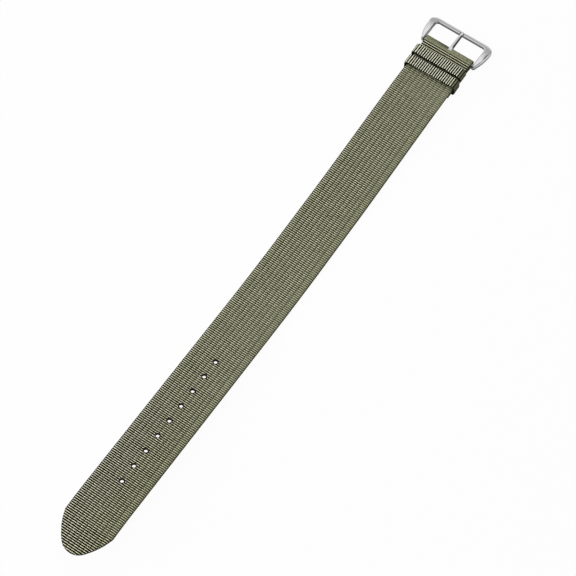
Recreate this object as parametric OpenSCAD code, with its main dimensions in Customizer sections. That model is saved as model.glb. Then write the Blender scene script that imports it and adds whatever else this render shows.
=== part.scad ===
// One-piece nylon watch band with a pin buckle and two nylon keepers, lying flat.
// The band runs along Y with its tip at -Y and its buckle at +Y, and rests on Z = 0.
// Inside the modules, Y = 0 is the spring bar's axis; place() moves it to the row origin.

/* [Webbing] */
// Width of the webbing
strap_w = 20; // [16:1:24]
// Thickness of the webbing
strap_t = 1.2; // [1:0.05:1.4]
// Length from the spring bar to the tip, along the table
strap_reach = 238.4; // [212:0.2:270]
// Length of the rounded tip
tip_len = 11.8; // [10.4:0.2:15]
// Radius of the tip's nose
tip_nose_r = 6; // [4.5:0.25:6.5]
// Angle by which the tip's side arcs break inward from the straight edge
tip_break_deg = 17; // [10:1:20]

/* [Tongue holes] */
// Number of holes
hole_count = 9; // [5:1:11]
// Distance from hole to hole
hole_pitch = 7; // [5:0.5:7.5]
// Distance from the tip to the nearest hole
tip_to_hole = 30.8; // [25:0.2:40]
// Diameter of a hole
hole_d = 1.4; // [0.9:0.1:1.8]
// Width of the melted rim round a hole
hole_rim_w = 0.4; // [0.2:0.05:0.8]
// Depth to which the melted rim is dished
hole_rim_depth = 0.12; // [0.05:0.01:0.2]

/* [Fold and lie of the band] */
// Length of the tail folded back under the band
tail_len = 16; // [15:0.2:18]
// Length over which the tail rises from the bar to the lap
tail_rise_len = 5; // [4:0.5:6.5]
// Length over which the upper layer drops behind the fixed keeper
drop_len = 2.9; // [2.4:0.1:3.4]
// Space left between the two layers where they are sewn together
layer_gap = 0.05; // [0.03:0.01:0.1]
// Distance from the bar at which the band starts to sink to the table
sag_start = 18.5; // [17.5:0.5:25]
// Distance from the bar at which the band reaches the table
sag_end = 80; // [72:1:85]
// Length of the stretch that lies on the table
rest_len = 21; // [16:1:26]
// Radius over which the band starts to rise again
rise_r = 330; // [250:10:450]
// Slope at which it rises, in degrees
rise_deg = 5.3; // [4:0.1:6.5]
// Length of the end that bends down again to the tip
nod_len = 23.4; // [18:0.2:28]
// Radius of that bend
nod_r = 90; // [75:5:120]

/* [Keepers] */
// Width of the keeper tape
tape_w = 4.3; // [3.6:0.1:4.5]
// Thickness of the keeper tape
tape_t = 0.7; // [0.5:0.05:0.9]
// Radius of the keepers' shoulders, on the inside
shoulder_r = 1.1; // [0.6:0.1:1.2]
// Radius at which the tape turns round the webbing's lower edge, on the inside
crease_r = 0.2; // [0.15:0.05:0.3]
// Play at each side between the keepers and the webbing
keeper_side_play = 0.2; // [0.12:0.02:0.4]
// Distance from the bar to the fixed keeper
fixed_keeper_back = 4.7; // [4.3:0.1:5]
// Gap between the two keepers
keeper_gap = 0.35; // [0.25:0.05:0.6]
// Play above the second pass of the band in the keepers
pass_play = 0.15; // [0.1:0.05:0.4]
// Play under the folded tail in the sliding keeper
under_play = 0.4; // [0.35:0.05:0.6]
// Fit between the fixed keeper's lower run and the layers that hold it
run_fit = 0.03; // [0.02:0.01:0.06]

/* [Stitching] */
// Diameter of the thread
thread_d = 0.24; // [0.16:0.02:0.28]
// Stitches in a row
stitch_count = 7; // [5:1:8]
// Length of a stitch
stitch_len = 2.3; // [1.4:0.1:2.3]
// Clearance round the thread in its needle holes
needle_play = 0.04; // [0.02:0.01:0.08]

/* [Spring bar] */
// Diameter of the tube
tube_d = 1.5; // [1.3:0.1:1.6]
// Diameter of the tube's bore
tube_bore_d = 1; // [0.9:0.02:1.06]
// Diameter of a plunger's tip
pin_d = 0.8; // [0.7:0.02:0.84]
// Length of a plunger inside the tube
plunger_head_len = 3; // [2:0.5:4]
// Depth of the tube's necked mouth
neck_len = 0.6; // [0.4:0.1:0.8]
// Depth to which a plunger's tip enters the buckle's ear
pin_bite = 0.8; // [0.5:0.05:0.9]
// Running clearance of turning and sliding steel pieces
run_play = 0.05; // [0.03:0.01:0.08]
// Diameter of the spring's wire
spring_wire_d = 0.16; // [0.12:0.01:0.18]
// Turns of the spring
spring_turns = 14; // [8:1:18]

/* [Buckle frame] */
// Play at each side between the frame and the webbing
frame_side_play = 0.6; // [0.4:0.1:1]
// Distance from the spring bar to the frame's outer edge
frame_reach = 10.7; // [9.8:0.1:12]
// Depth of the outer bar, along the band
bar_depth = 1.9; // [1.5:0.1:2.2]
// Thickness of the outer bar
bar_t = 1.7; // [1.4:0.1:2]
// Width of an arm at the spring bar
arm_w = 1.3; // [1.3:0.1:1.6]
// Width of an arm at the corner
corner_w = 3.1; // [2.6:0.1:3.4]
// Radius of the frame's outer corners
corner_r = 3.2; // [2.6:0.1:3.6]
// Radius of the window's corners
window_r = 1.2; // [0.5:0.1:1.6]
// Radius of the ears round the spring bar
ear_r = 1.25; // [1.2:0.05:1.4]
// Drop of the frame's upper side from the ears to the outer bar
frame_drop = 1.6; // [1.4:0.1:2]
// Rise of the arch under the arms
arch_rise = 0.75; // [0.4:0.05:1]
// Radius of the arms' rounded flanks
flank_r = 3.2; // [3:0.1:5]
// Radius of the outer bar's rounded edges
edge_r = 0.6; // [0.4:0.05:0.7]

/* [Tongue] */
// Width of the tongue's eye
eye_w = 1.9; // [1.5:0.1:2.2]
// Wall of the tongue's eye
eye_wall = 0.54; // [0.45:0.03:0.6]
// Width of the blade at the eye
blade_root_w = 1.7; // [1.3:0.1:1.8]
// Width of the blade at its tip
blade_tip_w = 1.3; // [1:0.1:1.4]
// Thickness of the blade at the eye
blade_t = 1; // [0.8:0.05:1.1]
// Height of the blade's upper side over the bar's axis
blade_top = 0.6; // [0.5:0.05:0.7]
// Distance by which the tip stops short of the frame's outer edge
tip_short = 0.25; // [0:0.05:0.5]
// Height by which the tip stands proud of the outer bar
tip_proud = 0.4; // [0.2:0.05:0.5]
// Thickness of the blade at its tip
tip_t = 0.75; // [0.6:0.05:0.8]
// Clearance round the tongue in the webbing's slot and the bar's notch
tongue_play = 0.15; // [0.1:0.05:0.25]
// Distance the slot reaches behind the bar's axis on the upper side
slot_top_back = 0; // [0:0.1:0.6]
// Distance the slot reaches behind the bar's axis on the folded side
slot_back = 0.9; // [0.8:0.1:1.4]

/* [Hidden] */
$fn = 64;
// Facets of a circle of large radius
fine = 360;

olive = [0.46, 0.48, 0.36];
dark_olive = [0.30, 0.31, 0.22];
pale_olive = [0.66, 0.66, 0.52];
steel = [0.78, 0.78, 0.80];
// Any length longer than the part in its own direction
past = 400;

// Radii round the spring bar
tube_r = tube_d / 2;
eye_in_r = tube_r + run_play;
eye_out_r = eye_in_r + eye_wall;
fold_in_r = tube_r + run_play;
fold_out_r = fold_in_r + strap_t;

// Half the frame's inner width, and the gap between the tube's ends and the ears
frame_in = strap_w / 2 + frame_side_play;
bar_end_gap = 2 * run_play;
// Middle radius of the spring's coil
spring_r = tube_bore_d / 2 - spring_wire_d / 2 - run_play / 2;
// Underside of the tongue's tip, over the bar's axis
tip_low = ear_r - frame_drop + tip_proud - tip_t;

// Heights of the stack of layers over the table
lap_low = tape_t + under_play;
lap_top = lap_low + strap_t;
upper_low = lap_top + layer_gap;
run_low = lap_top + run_fit;
crest_low = run_low + tape_t + run_fit;
bar_z = crest_low - fold_in_r;
fold_low = bar_z - fold_out_r;

// Places along the band, as distances from the spring bar
fixed_keeper_end = fixed_keeper_back + tape_w;
sliding_keeper_back = fixed_keeper_end + keeper_gap;
drop_start = fixed_keeper_end + run_fit;
drop_end = drop_start + drop_len;
fixed_seam_at = fixed_keeper_back + tape_w / 2;
tail_seam_at = (drop_end + sliding_keeper_back + tape_w) / 2;
lift_start = sag_end + rest_len;
rise_end = lift_start + rise_r * sin(rise_deg);
rise_high = rise_r * (1 - cos(rise_deg));
nod_start = strap_reach - nod_len;
nod_high = rise_high + (nod_start - rise_end) * tan(rise_deg);
origin_y = (strap_reach - frame_reach) / 2;

// Eases from 0 to 1 with level ends
function ease(t) = let (c = max(0, min(1, t))) c * c * (3 - 2 * c);
// Height of the raised end over the table, d from the bar
function lift_z(d) =
    d > nod_start ? nod_high - nod_r * cos(rise_deg)
        + sqrt(nod_r * nod_r - pow(d - nod_start - nod_r * sin(rise_deg), 2))
    : d > rise_end ? rise_high + (d - rise_end) * tan(rise_deg)
    : rise_r - sqrt(rise_r * rise_r - pow(max(0, d - lift_start), 2));
// Slope of the raised end, in degrees
function lift_slope(d) =
    d > nod_start ? asin(sin(rise_deg) - (d - nod_start) / nod_r)
    : d > rise_end ? rise_deg
    : asin(max(0, d - lift_start) / rise_r);
// Underside of the upper layer
function band_low(d) =
    d > sag_end ? lift_z(d)
    : d > sag_start ? upper_low * (1 - ease((d - sag_start) / (sag_end - sag_start)))
    : crest_low - (crest_low - upper_low) * ease((d - drop_start) / drop_len);
// Underside of the folded tail
function tail_low(d) = fold_low + (lap_low - fold_low) * ease(d / tail_rise_len);
// Evenly spaced stations from a to b, without a itself
function span(a, b, n) = [for (i = [1:n]) a + (b - a) * i / n];
// Closed outline of a layer whose underside is given by heights at stations
function layer(stations, lows) = concat(
    [for (i = [0:len(stations) - 1]) [-stations[i], lows[i]]],
    [for (i = [len(stations) - 1:-1:0]) [-stations[i], lows[i] + strap_t]]);

module place() {
    translate([0, origin_y, 0]) children();
}

// Profile in the YZ plane, made w wide along X
module across(w) {
    rotate([90, 0, 90]) linear_extrude(w, center = true) children();
}

// Cylinder along X with its middle at the origin
module x_rod(r, l) {
    rotate([0, 90, 0]) cylinder(r = r, h = l, center = true);
}

// Upright outline standing on the X axis, with round upper and lower corners
module loop_outline(w, h, upper_r, lower_r) {
    translate([-w / 2, lower_r]) square([w, h - upper_r - lower_r]);
    translate([lower_r - w / 2, 0]) square([w - 2 * lower_r, h / 2]);
    translate([upper_r - w / 2, h / 2]) square([w - 2 * upper_r, h / 2]);
    for (s = [-1, 1]) {
        translate([s * (w / 2 - upper_r), h - upper_r]) circle(upper_r);
        translate([s * (w / 2 - lower_r), lower_r]) circle(lower_r);
    }
}

// The webbing as a bent sheet: the upper layer, the tail and the fold round the bar
module webbing_sheet() {
    upper = concat([0, drop_start], span(drop_start, drop_end, 6), [sag_start],
        span(sag_start, sag_end, 16), [lift_start], span(lift_start, rise_end, 6), [nod_start],
        span(nod_start, strap_reach, 10));
    across(strap_w) polygon(layer(upper, [for (d = upper) band_low(d)]));
    tail = concat([0], span(0, tail_rise_len, 6), [tail_len]);
    across(strap_w) polygon(layer(tail, [for (d = tail) tail_low(d)]));
    translate([0, 0, bar_z]) difference() {
        x_rod(fold_out_r, strap_w);
        x_rod(fold_in_r, 2 * strap_w);
        translate([-past / 2, -past, -past / 2]) cube(past);
    }
}

// Plan of the webbing: straight edges, two side arcs and a round nose
module webbing_plan() {
    nose_back = tip_len - tip_nose_r;
    side_r = (pow(strap_w / 2, 2) + nose_back * nose_back - tip_nose_r * tip_nose_r)
        / (strap_w * cos(tip_break_deg) - 2 * nose_back * sin(tip_break_deg) - 2 * tip_nose_r);
    side_x = side_r * cos(tip_break_deg) - strap_w / 2;
    side_y = side_r * sin(tip_break_deg);
    // Where a side arc runs into the nose
    meet = atan2(nose_back + side_y, side_x);
    translate([-strap_w / 2, -(strap_reach - tip_len)])
        square([strap_w, strap_reach - tip_len + 2 * fold_out_r]);
    translate([0, -(strap_reach - tip_len)]) {
        intersection() {
            translate([-side_x, side_y]) circle(side_r, $fn = fine);
            translate([side_x, side_y]) circle(side_r, $fn = fine);
            translate([-strap_w / 2, -nose_back - tip_nose_r * sin(meet)])
                square([strap_w, nose_back + tip_nose_r * sin(meet)]);
        }
        translate([0, -nose_back]) intersection() {
            circle(tip_nose_r);
            translate([-tip_nose_r, -tip_nose_r]) square([2 * tip_nose_r, tip_nose_r * (1 - sin(meet))]);
        }
    }
}

// One hole and its dished, heat-sealed rims, square to the webbing
module tongue_hole(d) {
    rim_r = hole_d / 2 + hole_rim_w;
    translate([0, -d, band_low(d) + strap_t / 2]) rotate([-lift_slope(d), 0, 0]) {
        cylinder(d = hole_d, h = 4 * strap_t, center = true);
        for (m = [0, 1]) mirror([0, 0, m]) translate([0, 0, strap_t / 2 - hole_rim_depth])
            cylinder(r1 = hole_d / 2, r2 = rim_r + hole_rim_w, h = 2 * hole_rim_depth);
    }
}

// Slot through the fold for the tongue, and the hollow that its eye sits in
module tongue_slot() {
    slot_w = blade_root_w + 2 * tongue_play;
    translate([-slot_w / 2, -slot_top_back, bar_z]) cube([slot_w, past, past]);
    translate([-slot_w / 2, -slot_back, bar_z - past]) cube([slot_w, past, past]);
    translate([0, 0, bar_z]) x_rod(eye_out_r + run_play * 2, eye_w + 2 * tongue_play);
}

// Row of needle holes from the height low up to top
module needle_holes(d, low, top) {
    for (i = [0:stitch_count]) translate([(i - stitch_count / 2) * stitch_len, -d, low])
        cylinder(d = thread_d + 2 * needle_play, h = top - low);
}

module strap_webbing() {
    color(olive) difference() {
        intersection() {
            webbing_sheet();
            translate([0, 0, -past / 2]) linear_extrude(past) webbing_plan();
        }
        for (i = [0:hole_count - 1]) tongue_hole(strap_reach - tip_to_hole - i * hole_pitch);
        tongue_slot();
        needle_holes(fixed_seam_at, 0, bar_z + past);
        needle_holes(tail_seam_at, 0, bar_z + past);
    }
}

// Closed loop of tape: d behind the bar, its lower run at low, inner height inner_h
module keeper_loop(d, low, inner_h) {
    inner_w = strap_w + 2 * keeper_side_play;
    translate([0, -d, low]) rotate([90, 0, 0]) linear_extrude(tape_w) difference() {
        loop_outline(inner_w + 2 * tape_t, inner_h + 2 * tape_t, shoulder_r + tape_t, crease_r + tape_t);
        translate([0, tape_t]) loop_outline(inner_w, inner_h, shoulder_r, crease_r);
    }
}

module fixed_keeper() {
    color(pale_olive) difference() {
        keeper_loop(fixed_keeper_back, run_low, run_fit + 2 * strap_t + pass_play);
        needle_holes(fixed_seam_at, run_low - tape_t, run_low + 2 * tape_t);
    }
}

module sliding_keeper() {
    color(pale_olive)
        keeper_loop(sliding_keeper_back, 0, under_play + 3 * strap_t + layer_gap + pass_play);
}

// Row of lock stitches through everything between the heights low and top
module stitch_row(d, low, top) {
    color(dark_olive) translate([0, -d, 0]) {
        for (i = [0:stitch_count]) translate([(i - stitch_count / 2) * stitch_len, 0, low - thread_d / 2])
            cylinder(d = thread_d, h = top - low + thread_d);
        for (z = [low - thread_d / 2, top + thread_d / 2])
            for (i = [0:stitch_count - 1])
                translate([(i + 0.5 - stitch_count / 2) * stitch_len, 0, z]) x_rod(thread_d / 2, stitch_len);
    }
}

module fixed_keeper_seam() {
    stitch_row(fixed_seam_at, lap_low, crest_low + strap_t);
}

module tail_seam() {
    stitch_row(tail_seam_at, lap_low, upper_low + strap_t);
}

// Tube with a bore that narrows at both mouths
module spring_bar_tube() {
    tube_len = 2 * (frame_in - bar_end_gap);
    color(steel) translate([0, 0, bar_z]) difference() {
        x_rod(tube_r, tube_len);
        x_rod(tube_bore_d / 2, tube_len - 2 * neck_len);
        x_rod(pin_d / 2 + run_play, 2 * tube_len);
    }
}

// Plunger at the +X end: a head inside the tube and a tip that enters the ear
module plunger() {
    mouth = frame_in - bar_end_gap - neck_len;
    head_r = tube_bore_d / 2 - run_play / 2;
    color(steel) translate([0, 0, bar_z]) rotate([0, 90, 0]) rotate_extrude() polygon([
        [0, mouth - run_play - plunger_head_len],
        [head_r, mouth - run_play - plunger_head_len],
        [head_r, mouth - run_play],
        [pin_d / 2, mouth - run_play],
        [pin_d / 2, frame_in + pin_bite - pin_d / 4],
        [pin_d / 4, frame_in + pin_bite],
        [0, frame_in + pin_bite]]);
}

module spring_bar_plunger_left() {
    mirror([1, 0, 0]) plunger();
}

module spring_bar_plunger_right() {
    plunger();
}

// Point k of ring i of the spring's wire, wound round X
function wire_point(i, k, steps, sides, half_len) =
    let (turn = 360 * spring_turns * i / steps,
        side = 360 * k / sides,
        r = spring_r + spring_wire_d / 2 * cos(side),
        x = -half_len + 2 * half_len * i / steps + spring_wire_d / 2 * sin(side))
    [x, r * cos(turn), bar_z + r * sin(turn)];

// Open coil spring between the two plunger heads
module spring_bar_spring() {
    sides = 5;
    steps = spring_turns * 10;
    half_len = frame_in - bar_end_gap - neck_len - run_play - plunger_head_len - spring_wire_d / 2 - run_play;
    points = [for (i = [0:steps], k = [0:sides - 1]) wire_point(i, k, steps, sides, half_len)];
    ends = [[for (k = [0:sides - 1]) k], [for (k = [sides - 1:-1:0]) steps * sides + k]];
    walls = [for (i = [0:steps - 1], k = [0:sides - 1])
        let (a = i * sides + k, b = i * sides + (k + 1) % sides)
        each [[a, a + sides, b + sides], [a, b + sides, b]]];
    color(steel) polyhedron(points, concat(ends, walls));
}

// Plan of the frame: bowed flanks, round corners and an open back between the ears
module frame_plan() {
    corner_y = frame_reach - corner_r;
    flank_out = frame_in + corner_w;
    bow_in = corner_w - arm_w;
    bow_r = (corner_y * corner_y + bow_in * bow_in) / (2 * bow_in);
    difference() {
        union() {
            intersection() {
                translate([flank_out - bow_r, corner_y]) circle(bow_r, $fn = fine);
                translate([bow_r - flank_out, corner_y]) circle(bow_r, $fn = fine);
                translate([-flank_out, 0]) square([2 * flank_out, corner_y]);
            }
            translate([corner_r - flank_out, corner_y]) square([2 * (flank_out - corner_r), corner_r]);
            for (s = [-1, 1]) {
                translate([s * (flank_out - corner_r), corner_y]) circle(corner_r);
                translate([s * (frame_in + arm_w - ear_r), 0]) circle(ear_r);
            }
        }
        window_y = frame_reach - bar_depth;
        translate([-frame_in, -past]) square([2 * frame_in, past + window_y - window_r]);
        translate([window_r - frame_in, 0]) square([2 * (frame_in - window_r), window_y]);
        for (s = [-1, 1]) translate([s * (frame_in - window_r), window_y - window_r]) circle(window_r);
    }
}

// What is cut off a corner at the origin's upper right to round it by edge_r
module rounded_off() {
    difference() {
        square(2 * edge_r);
        circle(edge_r);
    }
}

// Side view of the frame about the bar's axis: arched arms and the outer bar
module frame_side() {
    top_r = (frame_reach * frame_reach + frame_drop * frame_drop) / (2 * frame_drop);
    bar_high = ear_r - frame_drop;
    bar_low = bar_high - bar_t;
    fall = -ear_r - bar_low;
    chord = sqrt(frame_reach * frame_reach + fall * fall);
    arch_r = (chord * chord / 4 + arch_rise * arch_rise) / (2 * arch_rise);
    tilt = atan2(fall, frame_reach);
    circle(ear_r);
    difference() {
        intersection() {
            translate([0, ear_r - top_r]) circle(top_r, $fn = fine);
            translate([0, bar_low]) square([frame_reach, past]);
        }
        translate([0, -ear_r]) rotate(-tilt) translate([chord / 2, arch_rise - arch_r]) circle(arch_r, $fn = fine);
        translate([frame_reach - edge_r, bar_high - edge_r]) rounded_off();
        translate([frame_reach - edge_r, bar_low + edge_r]) mirror([0, 1]) rounded_off();
    }
}

// Front view of the frame: rounded flanks
module frame_front() {
    side_x = frame_in + corner_w - flank_r;
    for (s = [-1, 1]) translate([s * side_x, -ear_r]) circle(flank_r, $fn = fine);
    translate([-side_x, -flank_r - ear_r]) square([2 * side_x, 2 * flank_r]);
}

module buckle_frame() {
    flank_out = frame_in + corner_w;
    color(steel) translate([0, 0, bar_z]) difference() {
        intersection() {
            across(4 * flank_out) frame_side();
            translate([0, 0, -past / 2]) linear_extrude(past) frame_plan();
            rotate([90, 0, 0]) linear_extrude(past, center = true) frame_front();
        }
        x_rod(pin_d / 2 + run_play, 2 * (frame_in + pin_bite + bar_end_gap));
        // Notch in the outer bar that the tongue's tip rests in
        notch_w = blade_tip_w + 2 * tongue_play;
        translate([-notch_w / 2, frame_reach - 2 * bar_depth, tip_low - run_play])
            cube([notch_w, 3 * bar_depth, past]);
    }
}

// Side view of the tongue about the bar's axis: a rolled eye and a gently bowed blade
module tongue_side() {
    reach = frame_reach - tip_short;
    top_fall = blade_top - (tip_low + tip_t);
    under_fall = blade_top - blade_t - tip_low;
    top_r = (reach * reach + top_fall * top_fall) / (2 * top_fall);
    under_r = (reach * reach + under_fall * under_fall) / (2 * under_fall);
    difference() {
        translate([0, blade_top - top_r]) circle(top_r, $fn = 4 * fine);
        translate([0, blade_top - blade_t - under_r]) circle(under_r, $fn = 4 * fine);
        translate([-past, -past / 2]) square([past, past]);
        translate([reach, -past / 2]) square([past, past]);
    }
}

module buckle_tongue() {
    reach = frame_reach - tip_short;
    color(steel) translate([0, 0, bar_z]) difference() {
        union() {
            x_rod(eye_out_r, eye_w);
            intersection() {
                across(eye_w) tongue_side();
                translate([0, 0, -past / 2]) linear_extrude(past) {
                    polygon([[-blade_root_w / 2, 0], [blade_root_w / 2, 0],
                        [blade_tip_w / 2, reach - blade_tip_w / 2], [-blade_tip_w / 2, reach - blade_tip_w / 2]]);
                    translate([0, reach - blade_tip_w / 2]) circle(blade_tip_w / 2);
                }
            }
        }
        x_rod(eye_in_r, 2 * eye_w);
        // Seam where the rolled eye comes round to the blade
        translate([-eye_w, 0, -blade_t / 2]) rotate([-30, 0, 0]) translate([0, 0, -run_play])
            cube([2 * eye_w, 2 * eye_out_r, 2 * run_play]);
    }
}

place() strap_webbing();
place() fixed_keeper();
place() sliding_keeper();
place() fixed_keeper_seam();
place() tail_seam();
place() buckle_frame();
place() buckle_tongue();
place() spring_bar_tube();
place() spring_bar_plunger_left();
place() spring_bar_plunger_right();
place() spring_bar_spring();
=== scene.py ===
"""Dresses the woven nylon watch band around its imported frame.

Sizes are in millimetres and in the frame's own place: X across the band, Y along it towards the
buckle, Z up from the table. A mesh is in millimetres until it is dressed, and then in metres.
"""

import logging
import math
from contextlib import contextmanager
from dataclasses import dataclass
from enum import Enum
from typing import Any, Callable, Iterator, Sequence

import bmesh
import bpy
import numpy as np
from bpy.types import ID, Material, Mesh, Node, NodeSocket, NodeTree, Object
from mathutils import Matrix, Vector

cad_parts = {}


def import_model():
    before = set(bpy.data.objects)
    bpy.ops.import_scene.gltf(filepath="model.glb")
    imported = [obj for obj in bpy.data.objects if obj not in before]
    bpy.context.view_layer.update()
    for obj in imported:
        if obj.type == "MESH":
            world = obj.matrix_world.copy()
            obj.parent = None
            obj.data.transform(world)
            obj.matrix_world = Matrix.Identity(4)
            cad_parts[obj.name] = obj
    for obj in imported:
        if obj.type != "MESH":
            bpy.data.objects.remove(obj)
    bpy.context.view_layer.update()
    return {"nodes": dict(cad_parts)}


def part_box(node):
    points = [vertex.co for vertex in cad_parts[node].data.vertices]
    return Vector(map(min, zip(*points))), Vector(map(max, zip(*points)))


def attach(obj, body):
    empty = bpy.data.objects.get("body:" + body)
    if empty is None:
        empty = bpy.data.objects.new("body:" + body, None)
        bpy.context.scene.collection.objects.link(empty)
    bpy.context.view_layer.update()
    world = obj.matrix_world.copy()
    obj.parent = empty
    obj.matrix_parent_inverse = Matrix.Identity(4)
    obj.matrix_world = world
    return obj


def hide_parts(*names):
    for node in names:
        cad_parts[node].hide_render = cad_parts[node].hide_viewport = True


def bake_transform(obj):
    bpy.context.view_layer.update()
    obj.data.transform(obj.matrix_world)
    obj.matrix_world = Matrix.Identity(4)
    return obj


Colour = tuple[int, int, int]
Spot = tuple[float, float, float]
Table = tuple[tuple[float, float], ...]
Marks = dict[str, np.ndarray]
MM = 0.001
SEED = 7
BAR_Y = 113.85
BAR_Z = 2.26
WHITE = (1.0, 1.0, 1.0, 1.0)
log = logging.getLogger("watch_band")


class Body(Enum):
    """The frame's bodies, by name."""

    BAND = "band"
    BUCKLE = "buckle"
    TONGUE = "tongue"
    BAR = "bar"
    PLUNGER_LEFT = "plunger_left"
    PLUNGER_RIGHT = "plunger_right"
    LOOSE_KEEPER = "loose_keeper"


class Side(Enum):
    """The side of the webbing that a layer of yarn floats covers."""

    OUTER = 1
    INNER = -1


def linear(colour: Sequence[int]) -> tuple[float, ...]:
    """Turns a colour as seen on a screen into the shader's linear values.

    Args:
        colour: Red, green and blue, 0 to 255.

    Returns:
        The linear colour with full alpha.
    """
    shares = [value / 255 for value in colour]
    return (*(s / 12.92 if s <= 0.04045 else ((s + 0.055) / 1.055) ** 2.4 for s in shares), 1.0)


def read(table: Table, x: np.ndarray) -> np.ndarray:
    """Reads a table of places and values, straight between its rows."""
    return np.interp(x, *zip(*table))


def ease(t: np.ndarray) -> np.ndarray:
    """Eases from 0 to 1 with level ends."""
    c = np.clip(t, 0, 1)
    return c * c * (3 - 2 * c)


# Node graphs


class Value:
    """A node's output. Arithmetic on it adds Math nodes."""

    def __init__(self, graph: "Graph", socket: NodeSocket) -> None:
        """Keeps the output and the graph that it is in."""
        self.graph, self.socket = graph, socket

    def __add__(self, other: Any) -> "Value":
        """Adds a value or number."""
        return self.graph.math("ADD", self, other)

    def __sub__(self, other: Any) -> "Value":
        """Takes a value or number away."""
        return self.graph.math("SUBTRACT", self, other)

    def __rsub__(self, other: float) -> "Value":
        """Takes this away from a number."""
        return self.graph.math("SUBTRACT", other, self)

    def __mul__(self, other: Any) -> "Value":
        """Multiplies by a value or number."""
        return self.graph.math("MULTIPLY", self, other)

    def __truediv__(self, other: Any) -> "Value":
        """Divides by a value or number."""
        return self.graph.math("DIVIDE", self, other)

    def __pow__(self, other: Any) -> "Value":
        """Raises to a power."""
        return self.graph.math("POWER", self, other)

    def __abs__(self) -> "Value":
        """Drops the sign."""
        return self.graph.math("ABSOLUTE", self)


class Graph:
    """Adds nodes to one node tree and joins them."""

    def __init__(self, tree: NodeTree) -> None:
        """Empties the tree and keeps it."""
        self.tree = tree
        tree.nodes.clear()

    def add(self, kind: str, inputs: dict[Any, Any] | None = None, **settings: Any) -> Node:
        """Adds a node.

        Args:
            kind: The node's type name.
            inputs: Values or constants for its inputs, by name or index.
            **settings: The node's own settings.

        Returns:
            The new node.
        """
        node = self.tree.nodes.new(kind)
        for name, setting in settings.items():
            setattr(node, name, setting)
        for key, value in (inputs or {}).items():
            if isinstance(value, Value):
                self.tree.links.new(value.socket, node.inputs[key])
            else:
                node.inputs[key].default_value = value
        return node

    def out(
        self, kind: str, inputs: dict[Any, Any] | None = None, output: int | str = 0, **settings: Any
    ) -> Value:
        """Adds a node for the sake of one output.

        Args:
            kind: The node's type name.
            inputs: Values or constants for its inputs, by name or index.
            output: The output's name or index.
            **settings: The node's own settings.

        Returns:
            The output.
        """
        return Value(self, self.add(kind, inputs, **settings).outputs[output])

    def math(self, operation: str, *values: Any) -> Value:
        """Adds a Math node."""
        return self.out("ShaderNodeMath", dict(enumerate(values)), operation=operation)

    def vector_math(self, operation: str, inputs: dict[Any, Any]) -> Value:
        """Adds a Vector Math node."""
        return self.out("ShaderNodeVectorMath", inputs, operation=operation)

    def vector(self, *parts: Any) -> Value:
        """Puts X, Y and Z together."""
        return self.out("ShaderNodeCombineXYZ", dict(enumerate(parts)))

    def split(self, vector: Value) -> list[Value]:
        """Takes a vector apart into X, Y and Z."""
        return [Value(self, part) for part in self.add("ShaderNodeSeparateXYZ", {0: vector}).outputs]

    def object_place(self) -> Value:
        """Gives the object coordinates."""
        return self.out("ShaderNodeTexCoord", output="Object")

    def mark(self, name: str) -> Value:
        """Reads a share that is written on the mesh's points."""
        return self.out("ShaderNodeAttribute", output="Fac", attribute_name=name)

    def scaled(self, place: Value, scale: Spot, turn: Spot = (0.0, 0.0, 0.0)) -> Value:
        """Turns and scales a texture's place."""
        return self.out("ShaderNodeMapping", {0: place, 2: turn, 3: scale})

    def noise(self, place: Value, scale: float, detail: float) -> Value:
        """Adds a noise texture."""
        return self.out("ShaderNodeTexNoise", {"Vector": place, "Scale": scale, "Detail": detail}, "Fac")

    def ramp(self, place: Value, *stops: tuple[float, tuple[float, ...]]) -> Value:
        """Adds a colour ramp.

        Args:
            place: The place on the ramp.
            *stops: Places and colours, in order.

        Returns:
            The colour.
        """
        node = self.add("ShaderNodeValToRGB", {0: place})
        elements = node.color_ramp.elements
        while len(elements) < len(stops):
            elements.new(1.0)
        for element, (at, colour) in zip(elements, stops):
            element.position, element.color = at, colour
        return Value(self, node.outputs[0])

    def mix(self, share: Value, first: Any, second: Any) -> Value:
        """Mixes two colours, by the second one's share."""
        return self.out("ShaderNodeMix", {0: share, 6: first, 7: second}, 2, data_type="RGBA")

    def bump(self, height: Value, strength: float, depth: float) -> Value:
        """Gives the normal of a bumped surface, its depth in millimetres."""
        return self.out("ShaderNodeBump", {"Height": height, "Strength": strength, "Distance": depth * MM})

    def store(self, geometry: Value, name: str, value: Value) -> Value:
        """Writes a value on each point of a geometry."""
        inputs = {"Geometry": geometry, "Name": name, "Value": value}
        return self.out("GeometryNodeStoreNamedAttribute", inputs, data_type="FLOAT", domain="POINT")

    def repeat(self, piece: Value, count: Value, start: Value, step: Value, **others: Value) -> Value:
        """Repeats a geometry along a line.

        Args:
            piece: What is repeated.
            count: How many there are.
            start: Place of the first one.
            step: Way from one to the next.
            **others: Other inputs of the node that puts them there.

        Returns:
            The instances.
        """
        places = {"Count": count, "Start Location": start, "Offset": step}
        line = self.out("GeometryNodeMeshLine", places, mode="OFFSET")
        return self.out("GeometryNodeInstanceOnPoints", {"Points": line, "Instance": piece} | others)


# Finishes


@dataclass(frozen=True)
class Finish:
    """A finish: a procedural material with its own surface."""

    name: str

    def surface(self, g: Graph) -> dict[str, Any]:
        """Gives the shader's inputs; each kind of finish has its own."""
        raise NotImplementedError

    def material(self) -> Material:
        """Builds the node material.

        Returns:
            The finished material.
        """
        material = bpy.data.materials.new(self.name)
        material.use_nodes = True
        g = Graph(material.node_tree)
        g.add("ShaderNodeOutputMaterial", {0: g.out("ShaderNodeBsdfPrincipled", self.surface(g))})
        return material


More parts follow.
